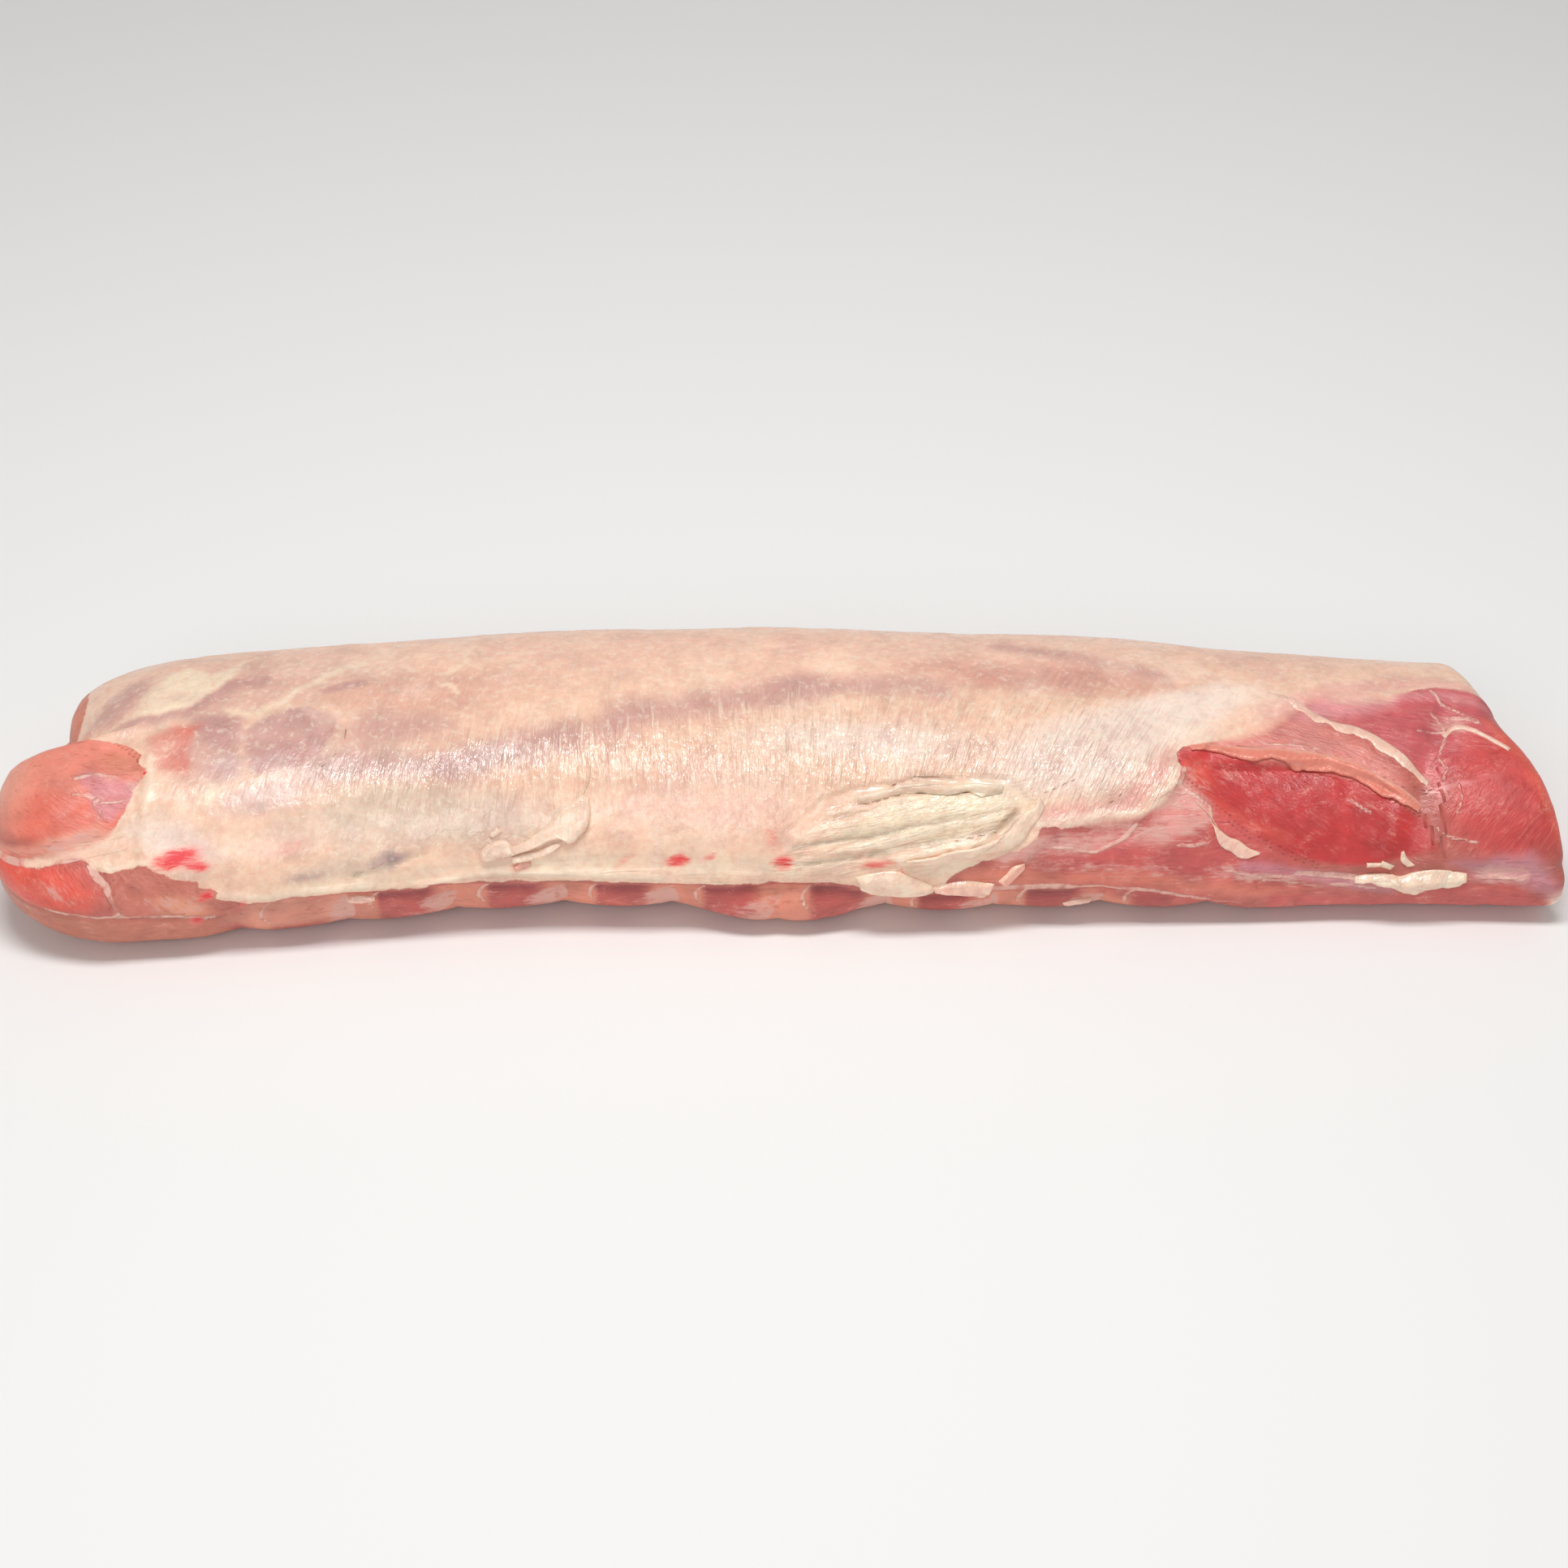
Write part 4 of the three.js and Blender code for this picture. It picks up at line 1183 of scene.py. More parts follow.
@dataclass
class SkinPaint:
    """Works out, for each vertex of the loin, what the skin's material reads."""

    relief: Relief
    noise: Noise
    ribs: RibPattern = RibPattern()
    rim_fat: Pair = (6.0, 13.0)
    rim_far_x: Span = (-250.0, -270.0)
    rim_far_y: Span = (-20.0, -14.0)
    far: float = 30.0
    face_reach: Pair = (30.0, 9.0)
    face_border: Span = (-8.0, 8.0)
    line_gain: float = 0.25
    wide: float = 26.0
    narrow: float = 7.0
    strip_rim: float = 0.8
    strip_under: float = 26.0
    strip_x: Pair = (-206.0, 150.0)
    veil_start: Span = (-188.0, -162.0)
    grain_lean: float = 40.0
    muscle_border: Span = (0.4, 1.8)
    bone_mark: Span = (0.35, 0.95)
    bone_edge: Span = (3.0, 11.0)
    bone_end: Span = (240.0, 220.0)
    bone_strength: float = 0.55
    calm: Span = (1.2, 4.2)
    pleat: Span = (0.0, 0.9)
    left: Span = (-195.0, -140.0)
    right: Span = (175.0, 135.0)
    wet_v: Pair = (54.0, 46.0)
    wet_end: Span = (286.0, 236.0)
    lit_foot: Span = (30.0, 44.0)
    lit_top: Span = (108.0, 88.0)
    loose: tuple[Span, Span, Span, Span] = ((-70, -20), (150, 120), (14, 26), (80, 60))
    lumpy: tuple[Span, Span, Span] = ((-128, -114), (-60, -80), (30, 20))
    stroke_x: Row = (-200, -120, -60, 10, 80, 160)
    stroke_slant: Row = (0.25, 0.15, -0.12, 0.02, 0.38, 0.55)
    crease_x: Row = (-200, -100, 0, 100)
    crease_top: Row = (66, 76, 90, 92)
    fold_x: Row = (-220, -140, -40, 0, 40, 95)
    fold_v: Row = (14, 6, 4, 6, 15, 30)
    fold_outline: Path = ((-190, -6), (-190, 11), (-150, 9), (-110, 9), (-60, 10), (-12, 8), (0, 20),
                          (14, 33), (28, 38), (60, 43), (84, 44), (92, 36), (80, 22), (60, 8), (50, -6))

    def paint(self, position: Array, v: Array, inset: Array) -> dict[str, Array]:
        """Works out all the values.

        Args:
            position: the vertices, in millimetres.
            v: their arc length.
            inset: their depth in from an end's rim.

        Returns:
            The values, places and colours by attribute name.
        """
        x = position[:, 0]
        wander, ripple = self._wander(position)
        edge = np.stack([x, v]) + 1.1 * ripple.T
        tight = np.stack([x, v]) + 1.5 * wander.T + 1.2 * ripple.T
        under = self.relief.fat_edge(x) - v
        count = (x - self.relief.lobe_tip) / self.relief.rib_pitch
        place = (x + 0.8 * ripple[:, 0] - self.relief.lobe_tip) % self.relief.rib_pitch
        chance = np.sin(2.4 * np.floor(count - (place < self.ribs.tip_reach)))
        start, end = self.strip_x
        strip = np.min([under - self.strip_rim, self.strip_under - under, x - start, end - x], axis=0)
        deep = inset > np.where(x < 0, *self.face_reach)
        lines = [np.where(deep, -self.far, line.depth(*edge) + self.line_gain) for line in FASCIA_LINES]
        lines.append(np.minimum(self.ribs.arc(place, under), strip))
        face = position[:, 1:].T + 2 * wander.T
        for seams, side in ((BLADE_SEAMS, -1), (SIRLOIN_SEAMS, 1)):
            lines += [np.where(deep & (x * side > 0), seam.depth(*face), -self.far) for seam in seams]
        tip = np.where(strip > 0, self.ribs.tip(place, under, chance), self.far)
        veil = np.where((strip > 0) & (tip > -2.0), self.ribs.cover(place, under, chance), 0.0)
        veil = veil * rise(x, self.veil_start)
        # Painted shade: how far each place is into the thin dark lines of the narrowest creases.
        crease_shades = [line.depth(*(np.stack([x, v]) + 0.5 * ripple.T)) for line in CREASE_SHADE_LINES]
        calm = self._calm(x, v)
        return {
            "lean": self._lean(position, *edge, inset),
            "soft": self._most(SOFTNESS, *edge, 0.3),
            "tone": self.fat_tone(position, v),
            "lean_tone": self._lean_tone(position, *tight, place, strip, under, inset),
            "fascia": np.maximum(np.max(lines, axis=0), -self.far),
            "silver": tip,
            "sheath": np.maximum(veil, self._sheath(*tight) * (1 - 0.8 * deep)) + self._bone_marks(*tight),
            "crease_shade": np.maximum(np.max(crease_shades, axis=0), -self.far),
            "stain": self._most(STAINS, x, v, 0.0),
            "wet": self._wet(x, v, wander[:, 0]),
            "crease": self._crease(x, v) * calm,
            "grit": self._grit(x, v) * calm,
            "flow": self.flow(x, v, inset),
            **self._grain(position, v),
        }

    def _wander(self, position: Array) -> tuple[Array, Array]:
        """Random shifts of a place in millimetres, wide ones and narrow ones."""
        wide = np.stack([self.noise(position + 40 * k, self.wide) for k in (1, 2)], -1)
        return wide, np.stack([self.noise(position + 40 * k, self.narrow, 2) for k in (3, 4)], -1)

    def flow(self, x: Array, v: Array, inset: Array | float = 0.0) -> Array:
        """The place on the skin as (across, along, depth) of its fine wrinkles, in millimetres."""
        slant = np.interp(x, self.stroke_x, self.stroke_slant)
        round_girth = np.stack([x - slant * (v - 50.0), v, inset + 0 * x], -1)
        along_fold = np.stack([v - np.interp(x, self.fold_x, self.fold_v), x, 60 + 0 * x], -1)
        return np.where((inside_depth(x, v, self.fold_outline) > 0)[..., None], along_fold, round_girth)

    def _calm(self, x: Array, v: Array) -> Array:
        """0 where wrinkles of two directions meet, 1 away from there."""
        return rise(np.abs(inside_depth(x, v, self.fold_outline)), self.calm)

    def _grain(self, position: Array, v: Array) -> dict[str, Array]:
        """The place as (along, across, out) of the muscle's fibres, and how far it is from another muscle.

        The fibres run in a plane that leans back, each muscle's at its own angle in it.
        """
        x, angle = position[:, 0], np.zeros(len(v))
        border = np.full(len(v), self.far)
        for degrees, outline in GRAINS:
            depth = inside_depth(x, v, outline)
            angle = np.where(depth > 0, float(degrees), angle)
            border = np.minimum(border, np.abs(depth))
        up, inwards = turned(position[:, 2], position[:, 1], self.grain_lean)
        grain = np.stack([*turned(x, up, angle), -inwards], -1)
        return {"grain": grain, "muscle": rise(border, self.muscle_border)}

    def _bone_marks(self, x: Array, v: Array) -> Array:
        """Pale marks on the chine side where each bone lay, 0 to 1."""
        mark = rise(np.cos(2 * math.pi * (x + 0.3 * v) / self.relief.rib_pitch), self.bone_mark)
        ends = rise(v - self.relief.chine_edge, self.bone_edge) * rise(np.abs(x), self.bone_end)
        return self.bone_strength * mark * ends

    @staticmethod
    def _sheath(x: Array, v: Array) -> Array:
        """How strongly thin membranes cover the lean, 0 to 1."""
        total = np.zeros(np.shape(x))
        for shape, strength in SHEATHS:
            total = np.maximum(total, strength * shape.share(x, v))
        return total

    def _lean(self, position: Array, x: Array, v: Array, inset: Array) -> Array:
        """Distance into the lean, in millimetres, negative in the fat."""
        depth = np.maximum(self.relief.fat_edge(x) - v, v - self.relief.chine_edge)
        for outline in LEAN_OUTLINES:
            depth = np.maximum(depth, inside_depth(x, v, outline))
        near, far = self.rim_fat
        rim = near + (far - near) * rise(x, self.rim_far_x) * rise(position[:, 1], self.rim_far_y)
        return np.clip(np.maximum(depth, inset - rim), -self.far, self.far)

    @staticmethod
    def _most(spots: Sequence[Spot], x: Array, v: Array, least: float) -> Array:
        """The largest of some spots' heights at each place."""
        total = np.full(np.shape(x), least)
        for spot in spots:
            total = np.maximum(total, spot.height * spot.share(x, v))
        return total

    @staticmethod
    def _lay(tone: Array, patches: Sequence[Patch], x: Array, v: Array) -> Array:
        """Lays patches of colour over a tone, one after another."""
        for patch in patches:
            tone = mixed(tone, linear(patch.tone.value), patch.strength * patch.shape.share(x, v))
        return tone

    def fat_tone(self, position: Array, v: Array) -> Array:
        """The colour of the fat cover, with painted shade in its creases and paler ridges that are partly
        cream fat and partly painted highlight.

        Args:
            position: places on the loin, in millimetres.
            v: their arc length.

        Returns:
            Linear colours.
        """
        wander, ripple = self._wander(position)
        place = np.stack([position[:, 0], v]) + 3.5 * wander.T + 2 * ripple.T
        tone = self._lay(linear(Tone.FAT.value) * np.ones((len(v), 1)), FAT_PATCHES, *place)
        mottle = self.noise(position, 16.0, 4)
        pleat = self.relief.pleats(position[:, 0], v) * (1 + 0.8 * ripple[:, 0])
        for share, colour in (
            (0.3 * smooth(mottle * 1.5), Tone.MAUVE),
            (0.3 * smooth(-mottle * 1.5), Tone.FAT_PALE),
            # Painted shade in the creases, and paler ridges: partly cream fat, partly painted highlight.
            (0.7 * rise(-pleat, self.pleat), Tone.FOLD_SHADE),
            (0.6 * rise(pleat, self.pleat), Tone.RIDGE_CREAM_HIGHLIGHT),
        ):
            tone = mixed(tone, linear(colour.value), share)
        return tone

    def _lean_tone(self, position: Array, x: Array, v: Array, place: Array, strip: Array, under: Array,
                   inset: Array) -> Array:
        """The colour of the lean, with painted shade on the rib strip just under the fat's lip.

        Args:
            position: the vertices, in millimetres.
            x: their places along the loin, a little shifted at random.
            v: their arc length, shifted in the same way.
            place: how far each is past a rib mark.
            strip: how far each is inside the strip of rib meat.
            under: how far each is under the fat's edge.
            inset: their depth in from an end's rim.

        Returns:
            Linear colours.
        """
        dark = self.ribs.dark(place)
        meat = mixed(linear(Tone.RIB_PALE.value), linear(Tone.RIB_DARK.value), dark)
        # Painted shade: the lobes darken just under the fat's overhanging lip.
        meat = mixed(meat, linear(Tone.RIB_LIP_SHADE.value), dark * rise(under, self.ribs.deep))
        tone = mixed(linear(Tone.UNDER.value), meat, smooth(strip / 2))
        tone = self._lay(tone, LEAN_PATCHES, x, v)
        face = np.where((x < 0)[:, None], linear(Tone.BLADE_FACE.value), linear(Tone.SIRLOIN_FACE.value))
        tone = mixed(tone, face, rise(inset - np.where(x < 0, *self.face_reach), self.face_border))
        mottle = 0.2 * self.noise(position, 12.0, 4) + 0.14 * self.noise(position + 60, 4.5, 2)
        return np.clip(tone * (1 + mottle[:, None]), 0, 1)

    def _wet(self, x: Array, v: Array, wander: Array) -> Array:
        """How wet the skin is, 0 to 1: most in a band along the top."""
        middle, reach = self.wet_v
        band = smooth(1 - np.abs(v - middle) / reach) * rise(x, self.left)
        return np.clip((0.6 * band + 0.4 + 0.3 * wander) * rise(x, self.wet_end), 0, 1)

    def _crease(self, x: Array, v: Array) -> Array:
        """How strongly the skin is wrinkled round the girth, 0 to 1."""
        top = np.interp(x, self.crease_x, self.crease_top)
        lit = rise(v, self.lit_foot) * (0.2 + 0.8 * smooth((top - v) / 16)) * rise(v, self.lit_top)
        band = np.maximum(lit, 0.6 * smooth(inside_depth(x, v, self.fold_outline) / 4))
        return 0.12 + 0.88 * band * rise(x, self.left) * rise(x, self.right)

    def _grit(self, x: Array, v: Array) -> Array:
        """How pebbled the skin is, 0 to 1: most on the loose fat right of the middle."""
        loose = math.prod(rise(c, span) for c, span in zip((x, x, v, v), self.loose))
        lumpy = math.prod(rise(c, span) for c, span in zip((x, x, v), self.lumpy))
        return np.clip(0.3 + 0.45 * loose + 0.3 * lumpy, 0, 1)


# Materials

FLOAT, VECTOR, COLOUR = "NodeSocketFloat", "NodeSocketVector", "NodeSocketColor"  # kinds of sockets


@dataclass(frozen=True)
class Pattern:
    """A noise pattern: its lumps per metre, for all axes or for each, and how it is broken up and turned."""

    scale: float | Triple | Socket
    detail: float = 3.0
    roughness: float = 0.55
    distortion: float = 0.0
    turn: Triple = (0, 0, 0)


class Nodes:
    """A short way to add and link nodes in one node tree."""

    def __init__(self, tree: Tree) -> None:
        """Keeps the node tree that nodes are added to."""
        self.tree = tree

    def add(self, kind: str, **settings: object) -> Node:
        """A new node with its properties set."""
        node = self.tree.nodes.new(kind)
        for name, value in settings.items():
            setattr(node, name, value)
        return node

    def feed(self, socket: Socket, value: object) -> None:
        """Links a socket to another socket, or sets its value."""
        if isinstance(value, Socket):
            self.tree.links.new(value, socket)
        else:
            socket.default_value = value

    def math(self, operation: str, a: object, b: object = 0.0, c: object = 0.0) -> Socket:
        """The result of a Math node."""
        node = self.add("ShaderNodeMath", operation=operation)
        for socket, value in zip(node.inputs, (a, b, c)):
            self.feed(socket, value)
        return node.outputs[0]

    def plus(self, a: object, b: object) -> Socket:
        """The sum of two values."""
        return self.math("ADD", a, b)

    def minus(self, a: object, b: object) -> Socket:
        """The first value less the second."""
        return self.math("SUBTRACT", a, b)

    def times(self, a: object, b: object) -> Socket:
        """The product of two values."""
        return self.math("MULTIPLY", a, b)

    def ramp(self, value: object, low: float, high: float, to_low: float = 0.0, to_high: float = 1.0,
             kind: str = "SMOOTHSTEP") -> Socket:
        """A value mapped from one range to another."""
        node = self.add("ShaderNodeMapRange", interpolation_type=kind)
        for name, setting in (("Value", value), ("From Min", low), ("From Max", high),
                              ("To Min", to_low), ("To Max", to_high)):
            self.feed(node.inputs[name], setting)
        return node.outputs["Result"]

    def blend(self, share: object, a: object, b: object, mode: str = "MIX") -> Socket:
        """A mix of two colours."""
        node = self.add("ShaderNodeMix", data_type="RGBA", blend_type=mode)
        node.clamp_factor = True
        for index, value in ((0, share), (6, a), (7, b)):
            self.feed(node.inputs[index], value)
        return node.outputs[2]

    def value(self, name: str, output: str = "Fac") -> Socket:
        """A number or colour that the mesh holds for each vertex."""
        return self.add("ShaderNodeAttribute", attribute_name=name).outputs[output]

    def place(self) -> Socket:
        """The place on the piece, in metres."""
        return self.add("ShaderNodeTexCoord").outputs["Object"]

    def noise(self, place: object, pattern: Pattern) -> Socket:
        """A noise texture's value, 0 to 1."""
        scale = pattern.scale
        if isinstance(scale, tuple):
            stretch = self.add("ShaderNodeMapping", vector_type="POINT")
            self.feed(stretch.inputs["Vector"], place)
            stretch.inputs["Rotation"].default_value = [math.radians(a) for a in pattern.turn]
            stretch.inputs["Scale"].default_value = scale
            place, scale = stretch.outputs["Vector"], 1.0
        node = self.add("ShaderNodeTexNoise", noise_dimensions="3D")
        for name, value in (("Vector", place), ("Scale", scale), ("Detail", pattern.detail),
                            ("Roughness", pattern.roughness), ("Distortion", pattern.distortion)):
            self.feed(node.inputs[name], value)
        return node.outputs["Fac"]

    def bump(self, shader: Node, height: object, strength: float, distance: float) -> None:
        """Raises a shader's surface by a height, over a distance in metres."""
        node = self.add("ShaderNodeBump")
        for name, value in (("Strength", strength), ("Distance", distance), ("Height", height)):
            self.feed(node.inputs[name], value)
        self.feed(shader.inputs["Normal"], node.outputs["Normal"])

    def group(self, tree: Tree, **values: object) -> Node:
        """A placed node group with its inputs set; an underscore in a name stands for a space."""
        node = self.add("ShaderNodeGroup", node_tree=tree)
        for name, value in values.items():
            self.feed(node.inputs[name.replace("_", " ")], value)
        return node


class Effects:
    """The shader node groups that the finishes share, each built once."""

    FINE = Pattern((700, 95, 300), 2.0, 0.5, 0.8)
    BROAD = Pattern((240, 55, 150), distortion=1.0, turn=(0, 0, 7))
    PEBBLE = Pattern((320, 250, 300), distortion=0.5)
    BUNDLES = Pattern((80, 300, 300), 4.0, 0.62, 1.2)
    THREADS = Pattern((220, 1000, 1000), 3.0, 0.6, 0.6)
    MEAT_CLOUDS = Pattern(95.0, 5.0, 0.65, 0.4)
    VEINS = Pattern((60, 130, 130), 4.0, 0.6, 2.4)
    FAT_CLOUDS = Pattern(90.0, 5.0, 0.65, 0.3)
    SPECKS = Pattern(380.0, 3.0, 0.6, 0.4)
    GLOSS = Pattern(120.0)
    ROSY = rgba((222, 160, 142))
    FLECK = rgba((255, 236, 214))
    # Painted shade in the valleys of the fine wrinkles, and pale fibres with painted glints on their ridges.
    WRINKLE_SHADE = rgba((206, 162, 144))
    FIBRE_AND_GLINT = rgba((255, 232, 208))

    def __init__(self) -> None:
        """Builds all groups."""
        self.ragged = self._ragged()
        self.wrinkles = self._wrinkles()
        self.fibres = self._fibres()
        self.mottle = self._mottle()

    @staticmethod
    def _new(name: str, inputs: dict[str, tuple[str, object]], outputs: dict[str, str]) -> tuple[
            Tree, Nodes, bpy.types.NodeOutputs, bpy.types.NodeInputs]:
        """An empty group with its sockets.

        Args:
            name: the group's name.
            inputs: socket kind and default by name.
            outputs: socket kind by name.

        Returns:
            The tree, its node helper, what the group is given and what it puts out.
        """
        tree = bpy.data.node_groups.new(name, "ShaderNodeTree")
        for label, (kind, default) in inputs.items():
            socket = tree.interface.new_socket(name=label, in_out="INPUT", socket_type=kind)
            if default is not None:
                socket.default_value = default
        for label, kind in outputs.items():
            tree.interface.new_socket(name=label, in_out="OUTPUT", socket_type=kind)
        nodes = Nodes(tree)
        return tree, nodes, nodes.add("NodeGroupInput").outputs, nodes.add("NodeGroupOutput").inputs

    def _ragged(self) -> Tree:
        """A mask from a distance, with a torn border."""
        tree, n, given, out = self._new(
            "ragged_border",
            {
                "Place": (VECTOR, None),
                "Distance": (FLOAT, 0.0),
                "Raggedness": (FLOAT, 1.0),
                "Softness": (FLOAT, 0.3),
                "Scale": (FLOAT, 300.0),
            },
            {"Mask": FLOAT},
        )
        tear = n.noise(given["Place"], Pattern(given["Scale"], 4.0, 0.62, 0.6))
        shift = n.times(n.minus(tear, 0.5), given["Raggedness"])
        depth = n.plus(given["Distance"], shift)
        softness = given["Softness"]
        n.feed(out["Mask"], n.ramp(depth, n.times(softness, -1.0), softness))
        return tree

    def _wrinkles(self) -> Tree:
        """Fine wrinkles that run round the girth, and a pebbled skin, as a height."""
        tree, n, given, out = self._new(
            "girth_wrinkles",
            {
                "Place": (VECTOR, None),
                "Amount": (FLOAT, 1.0),
                "Grit": (FLOAT, 0.5),
            },
            {"Height": FLOAT, "Ridge": FLOAT, "Valley": FLOAT},
        )
        place, amount = given["Place"], given["Amount"]
        fine = n.noise(place, self.FINE)
        broad = n.noise(place, self.BROAD)
        pebble = n.noise(place, self.PEBBLE)
        strokes = n.plus(n.times(fine, 0.75), n.times(broad, 0.8))
        n.feed(out["Height"], n.plus(n.times(strokes, amount), n.times(pebble, given["Grit"])))
        # Masks of the wrinkles' ridges and valleys, for the fat's painted glints and painted shade.
        both = n.plus(n.times(fine, 0.5), n.times(broad, 0.5))
        n.feed(out["Ridge"], n.times(n.ramp(both, 0.52, 0.62), amount))
        n.feed(out["Valley"], n.times(n.ramp(both, 0.47, 0.38), amount))
        return tree

    def _fibres(self) -> Tree:
        """Muscle fibres: a tone, a height and thin veins of fat."""
        tree, n, given, out = self._new(
            "muscle_fibres",
            {"Place": (VECTOR, None), "Amount": (FLOAT, 1.0)},
            {"Tone": FLOAT, "Height": FLOAT, "Marbling": FLOAT},
        )
        place = given["Place"]
        bundles = n.noise(place, self.BUNDLES)
        threads = n.noise(place, self.THREADS)
        clouds = n.noise(place, self.MEAT_CLOUDS)
        level = n.plus(n.times(bundles, 0.4), n.times(threads, 0.25))
        level = n.plus(level, n.times(clouds, 0.35))
        n.feed(out["Tone"], self._faded(n, level, 0.5, given["Amount"]))
        rise = n.plus(n.times(bundles, 0.7), n.times(threads, 0.3))
        n.feed(out["Height"], self._faded(n, rise, 0.5, given["Amount"]))
        veins = n.noise(place, self.VEINS)
        ridge = n.math("ABSOLUTE", n.minus(veins, 0.5))
        broken = n.times(n.ramp(clouds, 0.5, 0.62), given["Amount"])
        n.feed(out["Marbling"], n.times(n.ramp(ridge, 0.014, 0.0), broken))
        return tree

    @staticmethod
    def _faded(n: Nodes, value: object, rest: float, amount: object) -> Socket:
        """A value that fades to its resting value where the amount is 0."""
        return n.math("MULTIPLY_ADD", n.minus(value, rest), amount, rest)

    def _mottle(self) -> Tree:
        """The uneven colour of wet fat, from its own tone, with painted shade in the wrinkles' valleys and,
        on their ridges, pale fibres with painted glints.
        """
        tree, n, given, out = self._new(
            "fat_mottle",
            {
                "Place": (VECTOR, None),
                "Tone": (COLOUR, (0.8, 0.6, 0.5, 1.0)),
                "Ridge": (FLOAT, 0.0),
                "Valley": (FLOAT, 0.0),
            },
            {"Colour": COLOUR, "Roughness": FLOAT},
        )
        place = given["Place"]
        clouds = n.noise(place, self.FAT_CLOUDS)
        specks = n.noise(place, self.SPECKS)
        shade = n.ramp(clouds, 0.3, 0.7, 0.86, 1.12, "LINEAR")
        toned = n.blend(1.0, given["Tone"], shade, "MULTIPLY")
        rosy = n.blend(n.ramp(specks, 0.5, 0.34, 0.0, 0.2), toned, self.ROSY)
        fleck = n.blend(n.ramp(specks, 0.52, 0.68, 0.0, 0.35), rosy, self.FLECK)
        # Painted shade in the wrinkles' valleys; pale fibres and painted glints on their ridges.
        wrinkle_shade = n.blend(n.times(given["Valley"], 0.3), fleck, self.WRINKLE_SHADE)
        streak = n.blend(n.times(given["Ridge"], 0.5), wrinkle_shade, self.FIBRE_AND_GLINT)
        n.feed(out["Colour"], streak)
        n.feed(out["Roughness"], n.ramp(n.noise(place, self.GLOSS), 0.35, 0.65, 0.24, 0.4))
        return tree


@dataclass(frozen=True)
class Wetness:
    """How light enters and leaves a finish: one value each, all over the surface."""

    subsurface: float = 0.2
    radius: Triple = (1.0, 0.36, 0.25)
    depth: float = 0.0022
    specular: float = 0.75
    ior: float = 1.46

    def shader(self, n: Nodes) -> Node:
        """A Principled BSDF with these values, linked to the material's output."""
        shader = n.add("ShaderNodeBsdfPrincipled")
        for name, value in (("Subsurface Weight", self.subsurface), ("Subsurface Radius", self.radius),
                            ("Subsurface Scale", self.depth), ("Specular IOR Level", self.specular),
                            ("IOR", self.ior)):
            n.feed(shader.inputs[name], value)
        output = n.add("ShaderNodeOutputMaterial")
        n.feed(output.inputs["Surface"], shader.outputs["BSDF"])
        return shader


def new_material(name: str) -> tuple[Material, Nodes]:
    """An empty material that uses nodes.

    Args:
        name: the material's name.

    Returns:
        The material and its node helper.
    """
    material = bpy.data.materials.new(name)
    material.use_nodes = True
    material.node_tree.nodes.clear()
    return material, Nodes(material.node_tree)


